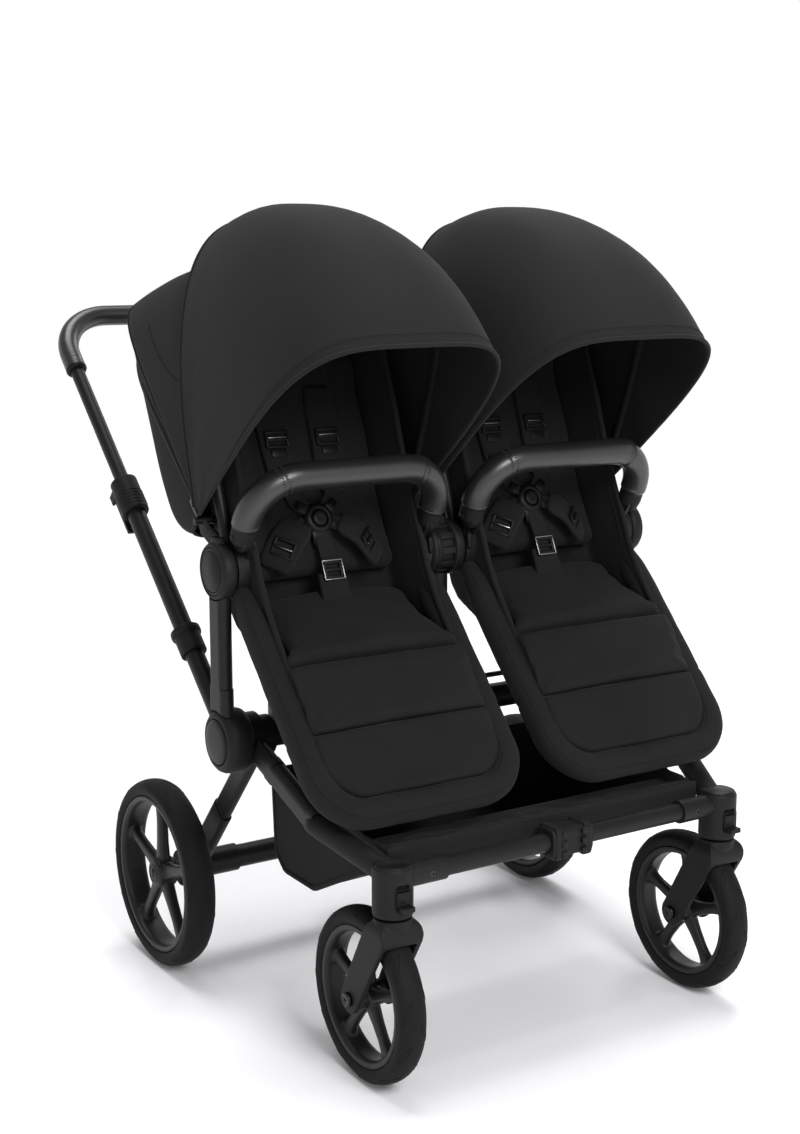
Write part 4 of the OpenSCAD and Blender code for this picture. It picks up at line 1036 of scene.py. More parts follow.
def stuff(piece, pressure, most):
    """Blows the piece up as cloth over some frames and keeps each point within a limit of its start."""
    start = [vert.co.copy() for vert in piece.data.vertices]
    filling = piece.modifiers.new("stuffing", "CLOTH")
    filling.settings.use_pressure = True
    filling.settings.uniform_pressure_force = pressure
    filling.settings.effector_weights.gravity = 0.0
    for number in range(1, STUFF_FRAMES + 1):
        scene.frame_set(number)
    bake_modifiers(piece)
    scene.frame_set(1)
    for vert, was in zip(piece.data.vertices, start):
        move = vert.co - was
        if move.length > most:
            vert.co = was + move.normalized() * most
    return piece


# %% Seams and creases
def press_seams(piece, distance, width, depth, way):
    """Draws the cloth in along a line: distance gives how far a point is from it."""
    mesh = piece.data
    for vert in mesh.vertices:
        away = distance(vert.co)
        if away < 3 * width and vert.normal.dot(way) > 0.3:
            vert.co -= way * depth * math.exp(-((away / width) ** 2))
    mesh.update()


def wrinkle(piece, size, depth, seed):
    """Soft creases: ridges of noise along each normal."""
    mesh = piece.data
    normals = [vert.normal.copy() for vert in mesh.vertices]
    for vert, normal in zip(mesh.vertices, normals):
        ridge = noise.noise(vert.co / size + Vector((seed, 0, 0)))
        vert.co += normal * depth * ridge
    mesh.update()


def finish_pad(piece):
    smooth = piece.modifiers.new("finer", "SUBSURF")
    smooth.levels = 1
    smooth.render_levels = 1
    bake_modifiers(piece)
    for face in piece.data.polygons:
        face.use_smooth = True


# %% Widths, the back's seams and the loose lip
def pad_widths(line):
    """The pads widen from the thighs to the footrest, along a soft S."""
    widths = []
    for behind, _ in line:
        down = min(max((-0.100 - behind) / 0.05, 0.0), 1.0)
        widths.append(SEAT_HALF + (FOOTREST_HALF - SEAT_HALF) * down * down * (3 - 2 * down))
    return widths


BACK_PANEL = 0.078
BACK_CROSS = 0.105


def back_seam(point):
    """Distance from the back pad's two long seams and its short cross seams."""
    local = point - seat_pivot["left"]
    long_seam = abs(abs(local.x) - BACK_PANEL)
    cross_seam = abs(local.z - BACK_CROSS) if abs(local.x) > BACK_PANEL else 1.0
    return min(long_seam, cross_seam)


def lip_wave(across, left):
    """The footrest's loose lip stands up a little, more in some places than in others."""
    near = max(1 - left / 0.034, 0.0) ** 2
    return near * (0.0035 + 0.0035 * math.sin(across * 30 + 1.2))


# %% Stuff and sew the cushions
thigh_line, calf_line, foot_line = finer(THIGH_LINE, 40), finer(CALF_LINE, 26), finer(FOOT_LINE, 26)
lining_line = finer(LINING_LINE, 18)
FOOT_ENDS = (0.004, FOOTREST_CORNER)
thigh_shape = pad_solid(thigh_line, pad_widths(thigh_line), 0.010, (0.020, 0.004), (0.006, 0.0105))
thigh = make_piece("thigh_cushion_left", thigh_shape, seat_cloth)
stuff(thigh, 3.0, 0.005)
wrinkle(thigh, 0.060, 0.0022, 5.0)
calf_shape = pad_solid(calf_line, pad_widths(calf_line), 0.006, (0.004, 0.004), (0.005, 0.0045))
calf = make_piece("calf_panel_left", calf_shape, seat_cloth)
stuff(calf, 2.0, 0.005)
wrinkle(calf, 0.050, 0.0014, 7.0)
foot_shape = pad_solid(
    foot_line, pad_widths(foot_line), 0.005, FOOT_ENDS, (0.0040, 0.0015), lip_wave, 0.012
)
foot = make_piece("foot_panel_left", foot_shape, seat_cloth)
wrinkle(foot, 0.055, 0.0014, 3.0)
lining_shape = pad_solid(
    lining_line, pad_widths(lining_line), 0.0, FOOT_ENDS, (0.001, 0.001), None, 0.008
)
lining = make_piece("footrest_lining_left", lining_shape, grey_lining)
back_widths = [SEAT_HALF + 0.003] * len(back_line)
back_shape = pad_solid(back_line, back_widths, 0.004, (0.030, 0.020), (0.006, 0.008))
back = make_piece("back_cushion_left", back_shape, seat_cloth)
stuff(back, 3.0, 0.006)
press_seams(back, back_seam, 0.0045, 0.0060, BACK_OUT)
wrinkle(back, 0.070, 0.0020, 9.0)
cushions = {thigh: "seat_pad", calf: None, foot: None, lining: None, back: "back_pad"}
for cushion in cushions:
    finish_pad(cushion)
print("cushions of", [len(cushion.data.polygons) for cushion in cushions], "faces")

# %% The second seat gets copies of the same cushions
seat_gap = seat_pivot["right"] - seat_pivot["left"]
for cushion, node in cushions.items():
    twin = bpy.data.objects.new(cushion.name.replace("left", "right"), cushion.data.copy())
    scene.collection.objects.link(twin)
    twin.data.transform(Matrix.Translation(seat_gap))
    for piece, side in ((cushion, "left"), (twin, "right")):
        stands_for = [f"{node}_{side}"] if node else []
        dress(piece, f"seat_{side}", "seat_fabric", *stands_for)
print("cushions copied across by", round(seat_gap.x, 3), "m")

# %% [markdown]
# ## Buckets, footrest covers and basket
# The bucket holds the pads like a shell of stiff cloth. It keeps its CAD shape, but its edges are
# softened and its faces get shallow creases. The front edges of its sides are bound with piping, as
# the photograph shows.


# %% Copies of CAD pieces with soft edges
def moulded_copy(node, finish, voxel=0.0014, passes=6):
    """A CAD piece with its edges rounded, in place of the sharp one."""
    piece = bpy.data.objects.new(f"{node}_moulded", frame["nodes"][node].data.copy())
    scene.collection.objects.link(piece)
    piece.data.materials.clear()
    piece.data.materials.append(finish)
    return mould(piece, voxel, passes)


# %% Buckets with piping
PIPING = 0.0085
BUCKET_EDGE = [
    (-0.172, -0.160), (-0.149, -0.135), (-0.128, -0.113), (-0.116, -0.098), (-0.092, -0.068),
    (-0.074, -0.042), (-0.058, -0.012), (-0.046, 0.018), (-0.024, 0.064), (-0.004, 0.110),
    (0.016, 0.166), (0.034, 0.220), (0.052, 0.262), (0.066, 0.300),
]
bucket_edge = finer(BUCKET_EDGE, 60)
BUCKET_WALL_MID = 0.1347
for side in SIDES:
    bucket = moulded_copy(f"seat_bucket_{side}", seat_cloth, 0.0032, 8)
    wrinkle(bucket, 0.090, 0.0012, 2.0)
    dress(bucket, f"seat_{side}", "seat_fabric", f"seat_bucket_{side}")
    bound = []
    for hand in (-1, 1):
        edge = [on_seat(side, hand * BUCKET_WALL_MID, behind, above) for behind, above in bucket_edge]
        bound.append(swept(edge, oval(PIPING, PIPING, 12), X))
        inside = hand * (BUCKET_WALL_MID - 0.0032)
        seam = [on_seat(side, inside, behind + 0.014, above) for behind, above in bucket_edge]
        bound.append(swept(seam, oval(0.0016, 0.0016, 6), X))
    add_piece(f"bucket_piping_{side}", merge(*bound), seat_cloth, f"seat_{side}", "seat_fabric")
print("bucket walls bound with piping of", PIPING, "m")


# %% A bent tube's path
def u_path(origin, way, half, start, reach, bend, arc_steps=14, straight_steps=16):
    """From one arm round the far bow to the other arm, about an origin in the middle."""
    path = [origin + X * -half + way * r for r in steps(start, reach - bend, straight_steps)]
    for i in range(1, arc_steps + 1):
        turn = math.pi / 2 * i / arc_steps
        across = -half + bend - bend * math.cos(turn)
        path.append(origin + X * across + way * (reach - bend + bend * math.sin(turn)))
    path += [origin + X * x + way * reach for x in steps(-half + bend, half - bend, straight_steps)[1:]]
    for i in range(1, arc_steps + 1):
        turn = math.pi / 2 * (1 - i / arc_steps)
        across = half - bend + bend * math.cos(turn)
        path.append(origin + X * across + way * (reach - bend + bend * math.sin(turn)))
    path += [origin + X * half + way * r for r in steps(reach - bend, start, straight_steps)[1:]]
    return path


LEG_SLOPE = math.radians(47)
LEG_WAY = Vector((0, -math.cos(LEG_SLOPE), -math.sin(LEG_SLOPE)))
LEG_UP = X.cross(LEG_WAY)
print("the leg frame slopes", round(math.degrees(LEG_SLOPE)), "degrees")

# %% Footrest covers
COVER_WIDE, COVER_DEEP = 0.0400, 0.0370
SEAM_TURNS_DEG = (-52, -128)
COVER_REACH, COVER_BEND, COVER_HALF = 0.392, 0.062, 0.148
CROSS_SEAM_REACH = 0.272


def sewn_section(wide, deep, seam_turns, sides=96, groove=0.0016):
    """An oval section with a narrow groove at each seam."""
    section = oval(wide, deep, sides, 2.5)
    for turn in seam_turns:
        i = round(turn % 360 / 360 * sides) % sides
        a, b = section[i]
        shrink = 1 - groove / math.hypot(a, b)
        section[i] = (a * shrink, b * shrink)
    return section


cover_section = sewn_section(COVER_WIDE, COVER_DEEP, SEAM_TURNS_DEG)
for side in SIDES:
    path = u_path(seat_pivot[side], LEG_WAY, COVER_HALF, 0.034, COVER_REACH, COVER_BEND, 20, 64)
    sizes = [1 + 0.016 * noise.noise(Vector((i * 0.16, SIDES[side], 0))) for i in range(len(path))]
    for i in range(14):
        taper = 0.50 + 0.50 * math.sin(math.pi / 2 * i / 14)
        sizes[i] *= taper
        sizes[-1 - i] *= taper
    for i, point in enumerate(path):
        along_leg = (point - seat_pivot[side]).dot(LEG_WAY)
        if abs(along_leg - CROSS_SEAM_REACH) < 0.0024:
            sizes[i] *= 0.94
    tube = make_piece(f"footrest_cover_{side}", swept(path, cover_section, LEG_UP, sizes), seat_cloth)
    wrinkle(tube, 0.030, 0.0007, 4.0)
    dress(tube, f"seat_{side}", "seat_fabric", f"leg_cover_{side}")
print("footrest covers of", round(path_length(path), 3), "m along the tube")

# %% Basket with piping
basket = moulded_copy("basket", basket_cloth, 0.0032, 3)
wrinkle(basket, 0.110, 0.0022, 6.0)
dress(basket, "chassis", "basket_fabric", "basket")
low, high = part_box("basket")
front_y = low.y - fold_axis.y
BASKET_HALF = 0.266
BASKET_EDGE = [
    (0.022, -0.062), (0.018, -0.120), (0.014, -0.183), (-0.012, -0.205),
    (-0.096, -0.205), (-0.222, -0.140), (front_y + 0.002, -0.119),
]
edge_lines = []
for hand in (-1, 1):
    edge = [fold_axis + Vector((hand * (BASKET_HALF - 0.001), y, z)) for y, z in finer(BASKET_EDGE, 60)]
    edge_lines.append(swept(edge, oval(0.0084, 0.0084, 12), X))
rear_rim = [fold_axis + Vector((x, 0.020, -0.062)) for x in steps(-BASKET_HALF, BASKET_HALF, 40)]
edge_lines.append(swept(rear_rim, oval(0.007, 0.007, 10), Z))
front_rim = [fold_axis + Vector((x, front_y + 0.004, -0.090)) for x in steps(-BASKET_HALF, BASKET_HALF, 40)]
edge_lines.append(swept(front_rim, oval(0.007, 0.007, 10), Z))
add_piece("basket_piping", merge(*edge_lines), basket_cloth, "chassis", "basket_fabric")
print("basket", [round(v, 3) for v in high - low])

# %% [markdown]
# ## The basket's front band
# Behind the basket's front rim hangs a short band of gathered cloth. A cloth simulation could make its
# ripples, but two layers of noise on a sagging sheet are quicker and the same in every run.

# %% The basket's gathered front band
BAND_DEPTH, BAND_DROP, BAND_THICK = 0.070, 0.014, 0.0026


def band_point(across, share, below=0.0):
    """A point of the band: share runs from the front rim to its loose rear edge."""
    place = Vector((across * 26, share * 2.2, 0))
    ripple = 0.0070 * noise.noise(place) + 0.0030 * noise.noise(place * 2.7)
    sag = -BAND_DROP * share - 0.006 * math.sin(math.pi * share)
    rise = sag + ripple * math.sin(math.pi * min(share + 0.12, 1.0)) - below
    return fold_axis + Vector((across, front_y + 0.004 + BAND_DEPTH * share, -0.0855 + rise))


BAND_COLUMNS, BAND_ROWS = 161, 17
acrosses, shares = steps(-0.258, 0.258, BAND_COLUMNS), steps(0.0, 1.0, BAND_ROWS)
top_side = [band_point(across, share) for share in shares for across in acrosses]
under_side = [band_point(across, share, BAND_THICK) for share in shares for across in acrosses]
band_shape = closed_sheet(top_side, under_side, BAND_ROWS, BAND_COLUMNS)
front_band = add_piece("basket_front_band", band_shape, basket_cloth, "chassis", "basket_fabric")

# %% [markdown]
# ## Harness
# Five straps meet in one buckle. Webbing is a flat woven band, so each strap is a thin section swept
# along its way. The pads on the shoulders and hips are soft sleeves round the webbing. Sliders and
# adjusters are small mouldings with slots that the band threads through.


# %% Places on the backrest
def on_back(side, across, up, out):
    """A point on the backrest: across, up along it and out towards the rider."""
    return seat_pivot[side] + Vector((across, BACK_FOOT, 0)) + BACK_UP * up + BACK_OUT * out


def band(path, width, thick, up, sizes=None):
    return swept(path, oval(width, thick, 24, 5.0), up, sizes)


def bent(points, count):
    """A smooth way through a few points (Catmull-Rom)."""
    ends = [2 * points[0] - points[1]] + points + [2 * points[-1] - points[-2]]
    path = []
    for k in range(1, len(ends) - 2):
        a, b, c, d = ends[k - 1:k + 3]
        for t in steps(0.0, 1.0, count)[:-1]:
            square = (2 * a - 5 * b + 4 * c - d) * t * t
            cube = (3 * b - a - 3 * c + d) * t ** 3
            path.append(0.5 * (2 * b + (c - a) * t + square + cube))
    return path + [points[-1]]


def rounded_ends(count, least=0.55):
    """Sizes along a pad: small at both ends and full between."""
    made = []
    for i in range(count):
        from_end = min(i, count - 1 - i) / (count - 1)
        made.append(least + (1 - least) * min(1.0, 6 * from_end) ** 0.5)
    return made


print("the backrest leans back", round(math.degrees(math.atan(BACK_RISE)), 1), "degrees")

# %% Webbing and pads
PAD_OUT = 0.0145
WEB_WIDE, WEB_THICK = 0.024, 0.0022
SLEEVE_WIDE, SLEEVE_THICK = 0.050, 0.0095
SHOULDER = [
    (0.044, 0.272, 0.006), (0.042, 0.180, PAD_OUT), (0.034, 0.094, PAD_OUT + 0.003), (0.017, 0.066, 0.021),
]
HIP = [(0.020, 0.046, 0.021), (0.056, 0.030, 0.023), (0.094, -0.006, 0.012)]
SLEEVE = [(0.044, 0.250, 0.010), (0.042, 0.170, PAD_OUT), (0.036, 0.092, PAD_OUT + 0.002)]
HIP_PAD = [(0.034, 0.045, 0.022), (0.060, 0.022, 0.026), (0.086, -0.014, 0.019)]
CROTCH = [(-0.008, 0.006), (-0.020, -0.020), (-0.032, -0.046), (-0.040, -0.064)]
CROTCH_COVER = [(-0.0155, -0.018), (-0.0245, -0.037), (-0.0335, -0.054), (-0.0440, -0.068)]


def along_back(side, hand, route, count):
    return bent([on_back(side, hand * across, up, out) for across, up, out in route], count)


def hip_out(hand):
    """Hip pads stand up like wings, so they face forwards and outwards."""
    return (BACK_OUT + X * hand * 0.75).normalized()


def crotch_out():
    return (BACK_OUT + Z * 0.45).normalized()


print("shoulder strap", round(path_length(along_back("left", 1, SHOULDER, 12)), 3), "m long")

# %% Sew the harness
for side in SIDES:
    straps, pads = [], []
    for hand in (-1, 1):
        straps.append(band(along_back(side, hand, SHOULDER, 12), WEB_WIDE, WEB_THICK, BACK_OUT))
        straps.append(band(along_back(side, hand, HIP, 12), WEB_WIDE, WEB_THICK, hip_out(hand)))
        for route, out in ((SLEEVE, BACK_OUT), (HIP_PAD, hip_out(hand))):
            way = along_back(side, hand, route, 14)
            pads.append(band(way, SLEEVE_WIDE, SLEEVE_THICK, out, rounded_ends(len(way), 0.75)))
    crotch_points = [on_back(side, 0, 0.040, 0.020)]
    crotch_points += [on_seat(side, 0, behind, above) for behind, above in CROTCH]
    straps.append(band(bent(crotch_points, 12), 0.026, 0.0024, crotch_out()))
    add_piece(
        f"harness_webbing_{side}", merge(*straps), webbing,
        f"seat_{side}", "webbing", f"harness_{side}",
    )
    sleeves = add_piece(f"harness_pads_{side}", merge(*pads), seat_cloth, f"seat_{side}", "seat_fabric")
    cover_way = bent([on_seat(side, 0, behind, above) for behind, above in CROTCH_COVER], 10)
    cover_sizes = [0.86 + 0.14 * share for share in steps(0.0, 1.0, len(cover_way))]
    cover = band(cover_way, SLEEVE_WIDE, 0.009, crotch_out(), cover_sizes)
    cover_piece = add_piece(f"crotch_cover_{side}", cover, seat_cloth, f"seat_{side}", "seat_fabric")
print("five straps a seat, webbing", WEB_WIDE, "m wide")


# %% Adjusters and sliders
def ladder(centre, turn, width, height, bar, bars):
    """A flat frame with cross bars, as a strap slider has."""
    shapes = []
    for hand in (-1, 1):
        post = centre + turn @ Vector((hand * (width - bar) / 2, 0, 0))
        shapes.append(block(post, (bar / 2, height / 2, bar / 2), turn, bar * 0.3))
    for i in range(bars):
        rung = centre + turn @ Vector((0, (height - bar) * (i / (bars - 1) - 0.5), 0))
        shapes.append(block(rung, (width / 2, bar / 2, bar / 2), turn, bar * 0.3))
    return shapes


def lying(across, up_way):
    """A matrix for small parts: its third column points away from what they lie on."""
    return Matrix((across, up_way, across.cross(up_way))).transposed()


# %% Place the sliders
for side in SIDES:
    lie = lying(X, BACK_UP)
    dark, bright = [], []
    for hand in (-1, 1):
        upper_x, lower_x = hand * 0.0415, hand * 0.0375
        dark += ladder(on_back(side, upper_x, 0.172, PAD_OUT + 0.0066), lie, 0.038, 0.026, 0.0046, 3)
        tail = on_back(side, upper_x, 0.152, PAD_OUT + 0.0058)
        dark.append(block(tail, (0.0125, 0.006, 0.0018), lie, 0.0012))
        upper_edge = on_back(side, upper_x, 0.1745, PAD_OUT + 0.0098)
        bright.append(block(upper_edge, (0.0150, 0.0009, 0.0006), lie, 0.0003))
        dark += ladder(on_back(side, lower_x, 0.110, PAD_OUT + 0.0072), lie, 0.044, 0.030, 0.0060, 2)
        lower_edge = on_back(side, lower_x, 0.1225, PAD_OUT + 0.0108)
        bright.append(block(lower_edge, (0.0160, 0.0011, 0.0007), lie, 0.0004))
        out = hip_out(hand)
        along = (X * hand * 0.62 - BACK_UP * 0.78)
        along = (along - out * along.dot(out)).normalized()
        across = along.cross(out).normalized()
        slope = lying(across, -along)
        slope_up = slope.col[2] * (1 if slope.col[2].dot(out) > 0 else -1)
        middle = on_back(side, hand * 0.066, 0.012, 0.0255) + slope_up * 0.0062
        dark += ladder(middle, slope, 0.034, 0.028, 0.0044, 3)
        bright.append(block(middle + slope_up * 0.0026, (0.0135, 0.0009, 0.0006), slope, 0.0003))
    strap_way = (on_seat(side, 0, -0.020, -0.020) - on_seat(side, 0, -0.008, 0.006)).normalized()
    strap_lie = lying(X, -strap_way)
    slider = on_seat(side, 0, -0.0175, -0.0135) + strap_lie @ Vector((0, 0, 0.0050))
    bright += ladder(slider, strap_lie, 0.034, 0.030, 0.0024, 2)
    dark += ladder(slider + strap_lie @ Vector((0, 0, -0.0008)), strap_lie, 0.030, 0.026, 0.0045, 3)
    add_piece(
        f"harness_sliders_{side}", merge(*dark), half_gloss,
        f"seat_{side}", "cap_black", sharp_deg=50,
    )
    add_piece(
        f"harness_slider_edges_{side}", merge(*bright), bright_steel,
        f"seat_{side}", "dark_steel", sharp_deg=50,
    )
print("sliders and adjusters placed")

# %% [markdown]
# ## Buckles
# All five straps meet in a round shield with a press button in its middle. Both are round, so both
# are turned profiles. The button is a piece of its own, because it can be pressed.

# %% Buckles
BUCKLE_PROFILE = [
    (0.0, 0.0), (0.0, 0.0200), (0.0030, 0.0228), (0.0085, 0.0228), (0.0120, 0.0205), (0.0136, 0.0165),
    (0.0136, 0.0142), (0.0112, 0.0132), (0.0030, 0.0130), (0.0030, 0.0),
]
BUTTON_PROFILE = [
    (0.0070, 0.0), (0.0070, 0.0118), (0.0120, 0.0118), (0.0140, 0.0108), (0.0150, 0.0080), (0.0146, 0.0040),
    (0.0142, 0.0),
]
NECK = ((0.014, 0.006), (0.022, 0.0065), (0.032, 0.0055), (0.040, 0.0040))
TONGUE = ((0.012, 0.010), (0.024, 0.017), (0.031, 0.024))
HORN = ((0.016, -0.006), (0.026, -0.012), (0.032, -0.013))
for side in SIDES:
    centre = on_back(side, 0, 0.052, 0.014)
    neck = [centre - BACK_UP * down + BACK_OUT * out for down, out in NECK]
    shapes = [
        turned(centre, BACK_OUT, BUCKLE_PROFILE, 64),
        swept(neck, oval(0.032, 0.009, 24, 4.0), BACK_OUT, [1.12, 1.0, 0.92, 0.88]),
    ]
    for hand in (-1, 1):
        tongue = [centre + X * hand * a + BACK_UP * u + BACK_OUT * 0.007 for a, u in TONGUE]
        shapes.append(swept(tongue, oval(0.016, 0.007, 18, 4.0), BACK_OUT, [1.0, 0.9, 0.75]))
        horn = [centre + X * hand * a + BACK_UP * u + BACK_OUT * 0.007 for a, u in HORN]
        shapes.append(swept(horn, oval(0.012, 0.007, 18, 4.0), BACK_OUT, [1.0, 0.85, 0.6]))
    add_piece(
        f"buckle_shield_{side}", merge(*shapes), half_gloss,
        f"seat_{side}", "moulded_black", f"buckle_{side}",
    )
    add_piece(
        f"buckle_dome_{side}", turned(centre, BACK_OUT, BUTTON_PROFILE, 48), half_gloss,
        f"buckle_button_{side}", "cap_black", f"buckle_button_{side}",
    )
print("buckles", 2 * BUCKLE_PROFILE[2][1], "m across")

# %% [markdown]
# ## Leather bars
# Bumper bars and push bar wear a leather sleeve that is sewn shut on its hidden side. Where the
# bumper bar's middle meets its corners, the leather is joined with a ring of stitches. A section swept
# along the bar's own bend makes the sleeve. Its size wanders by one part in a hundred, because
# stretched leather is never even, and it is drawn in where the stitches pull.

# %% Rings of stitches round a bar
BUMPER_SLOPE = math.radians(65)
BUMPER_WAY = Vector((0, -math.cos(BUMPER_SLOPE), math.sin(BUMPER_SLOPE)))
BUMPER_HALF, BUMPER_REACH, BUMPER_BEND = 0.1508, 0.095, 0.068
BUMPER_ROUND = 0.0400


def ring_of_stitches(centre, ahead, radius, count):
    """Slanted threads round a bar."""
    across = ahead.orthogonal().normalized()
    third = ahead.cross(across)
    made = []
    for n in range(count):
        turn = 2 * math.pi * n / count
        out = across * math.cos(turn) + third * math.sin(turn)
        along = third * math.cos(turn) - across * math.sin(turn)
        reach = (ahead * 0.8 + along * 0.5).normalized() * 0.0022
        place = centre + out * radius
        line = [place - reach, place + out * 0.0004, place + reach]
        made.append(swept(line, oval(0.0011, 0.0011, 5), out, [0.5, 1, 0.5]))
    return made


print("bumper bars", 2 * BUMPER_HALF, "m wide")

# %% Bumper leather, stitches and sockets
JOINT_X = 0.108
SOCKET_HUB = [
    (-0.0070, 0.0), (-0.0070, 0.0150), (-0.0050, 0.0172),
    (0.0055, 0.0172), (0.0075, 0.0150), (0.0075, 0.0),
]
SOCKET_SIZES = [0.80, 0.97, 1.0, 1.0, 1.03, 1.0]
SOCKET_RING = [(-0.0009, 0.0172), (0, 0.0182), (0.0009, 0.0172)]
SOCKET_STUD = [(0.0150, 0.0), (0.0150, 0.0055), (0.0176, 0.0050), (0.0182, 0.0)]
bumper_up = X.cross(BUMPER_WAY)
for side in SIDES:
    origin = bumper_pivot[side]
    path = u_path(origin, BUMPER_WAY, BUMPER_HALF, 0.020, BUMPER_REACH, BUMPER_BEND, 48, 60)
    sizes = [1 + 0.010 * noise.noise(Vector((i * 0.09, 1.0, SIDES[side]))) for i in range(len(path))]
    for i in range(36):
        slim = 0.86 + 0.14 * i / 36
        sizes[i] *= slim
        sizes[-1 - i] *= slim
    joints_at = []
    for hand in (-1, 1):
        gaps = [abs(point.x - origin.x - hand * JOINT_X) for point in path]
        joints_at.append(gaps.index(min(gaps)))
    for i in joints_at:
        sizes[i] *= 0.925
    hide_shape = swept(path, oval(BUMPER_ROUND, BUMPER_ROUND, 48), bumper_up, sizes)
    add_piece(
        f"bumper_leather_{side}", hide_shape, leather,
        f"bumper_{side}", "leather_black", f"bumper_bar_{side}",
    )
    sewn = []
    for i in joints_at:
        ahead = (path[i + 1] - path[i - 1]).normalized()
        for shift in (-0.0042, 0.0042):
            sewn += ring_of_stitches(path[i] + ahead * shift, ahead, BUMPER_ROUND / 2 * 0.998, 30)
    under = [p - BUMPER_WAY * (BUMPER_ROUND / 2 * 0.995) for p in path[40:-40]]
    sewn.append(stitch_row(under, [-BUMPER_WAY] * len(under), 0.0046, 0.0032, 0.0009))
    add_piece(f"bumper_stitches_{side}", merge(*sewn), thread, f"bumper_{side}", "leather_black")
    sockets, marks = [], []
    for hand in (-1, 1):
        foot_of_arm = origin + X * hand * BUMPER_HALF
        arm = [foot_of_arm + BUMPER_WAY * d for d in (-0.006, 0.000, 0.010, 0.021, 0.024, 0.028)]
        sockets.append(swept(arm, oval(0.0345, 0.0345, 36, 2.3), bumper_up, SOCKET_SIZES))
        sockets.append(turned(foot_of_arm, X * hand, SOCKET_HUB, 48))
        for d in (0.006, 0.0105, 0.015):
            marks.append(turned(foot_of_arm + BUMPER_WAY * d, BUMPER_WAY, SOCKET_RING, 40))
        marks.append(turned(foot_of_arm + BUMPER_WAY * 0.004, X * hand, SOCKET_STUD, 28))
        catch = foot_of_arm + BUMPER_WAY * 0.020 - bumper_up * 0.0165
        marks.append(block(catch, (0.0055, 0.0025, 0.0035), None, 0.0012))
    add_piece(f"bumper_sockets_{side}", merge(*sockets), moulded, f"bumper_{side}", "moulded_black")
    add_piece(f"bumper_socket_rings_{side}", merge(*marks), half_gloss, f"bumper_{side}", "cap_black")
print("bumper leather", round(path_length(path), 3), "m long")

# %% Push bar leather
HANDLE_HALF, HANDLE_REACH, HANDLE_BEND, GRIP_START = 0.345, 0.836, 0.090, 0.716
handle_up = X.cross(handle_way)
path = u_path(fold_axis, handle_way, HANDLE_HALF, GRIP_START, HANDLE_REACH, HANDLE_BEND, 26, 40)
sizes = [1 + 0.010 * noise.noise(Vector((i * 0.23, 4.0, 0))) for i in range(len(path))]
sizes[0] = sizes[-1] = 0.93
add_piece(
    "push_bar_leather", swept(path, oval(0.0328, 0.0328, 40), handle_up, sizes), leather,
    "handle", "leather_black", "handle_grip",
)
GRIP_ROUND = 0.0163
under = u_path(
    fold_axis, handle_way, HANDLE_HALF - GRIP_ROUND, GRIP_START + 0.004, HANDLE_REACH - GRIP_ROUND,
    HANDLE_BEND - GRIP_ROUND, 26, 40,
)
sewn = [stitch_row(under, [handle_up] * len(under), 0.0050, 0.0036, 0.0010)]
seam_line = swept(under, oval(0.0016, 0.0016, 6), handle_up)
add_piece("push_bar_stitches", merge(seam_line, *sewn), thread, "handle", "leather_black")
CUFF = [(-0.004, 0.0115), (-0.004, 0.0150), (-0.001, 0.0168), (0.003, 0.0168), (0.004, 0.0150)]
cuff_shapes = [turned(path[end], handle_way, CUFF, 48) for end in (0, -1)]
add_piece("push_bar_cuffs", merge(*cuff_shapes), half_gloss, "handle", "cap_black")
print("push bar leather", round(path_length(path), 3), "m long")

# %% [markdown]
# ## Hubs
# The lower hubs and the seat hubs are the round joints that the eye meets first. Both are turned
# shapes with large soft edges, a groove round the face and a cap set flush into it. The groove is
# what shows as a thin ring. The hub between the seats is a drum with a slot round its middle, and
# prongs stand in the slot.


# %% Lower hubs with caps
def pair(name, body, slot, finish, shape_of, *nodes):
    """The same shape on both sides; the right one stands for the CAD nodes of the pair."""
    for side, hand in SIDES.items():
        piece = make_piece(f"{name}_{side}", shape_of(side), finish)
        stands_for = nodes if hand > 0 else ()
        dress(piece, body, slot, *stands_for)


HUB_ROUND = 0.046
HUB_SHELL = [
    (-0.042, 0.0), (-0.042, 0.038), (-0.039, 0.0435), (-0.032, HUB_ROUND),
    (-0.016, HUB_ROUND), (-0.0100, 0.0452), (-0.0048, 0.0428), (-0.0016, 0.0392),
    (-0.0004, 0.0355), (-0.0004, 0.0336), (-0.0034, 0.0330), (-0.0034, 0.0),
]
HUB_CAP = [
    (-0.0060, 0.0), (-0.0060, 0.0320), (-0.0010, 0.0320), (0.0006, 0.0312),
    (0.0016, 0.0290), (0.0022, 0.0200), (0.0024, 0.0),
]
hub_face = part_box("lower_hubs")[1].x


def hub_centre(side):
    return Vector((SIDES[side] * hub_face, fold_axis.y, fold_axis.z))


def hub_shell(side):
    return turned(hub_centre(side), X * SIDES[side], HUB_SHELL, 96)


def hub_cap(side):
    return turned(hub_centre(side), X * SIDES[side], HUB_CAP, 96)


pair("lower_hub_shell", "chassis", "moulded_black", moulded, hub_shell, "lower_hubs")
pair("lower_hub_cap", "chassis", "cap_black", half_gloss, hub_cap, "lower_hub_caps")
print("lower hubs", 2 * HUB_ROUND, "m across")

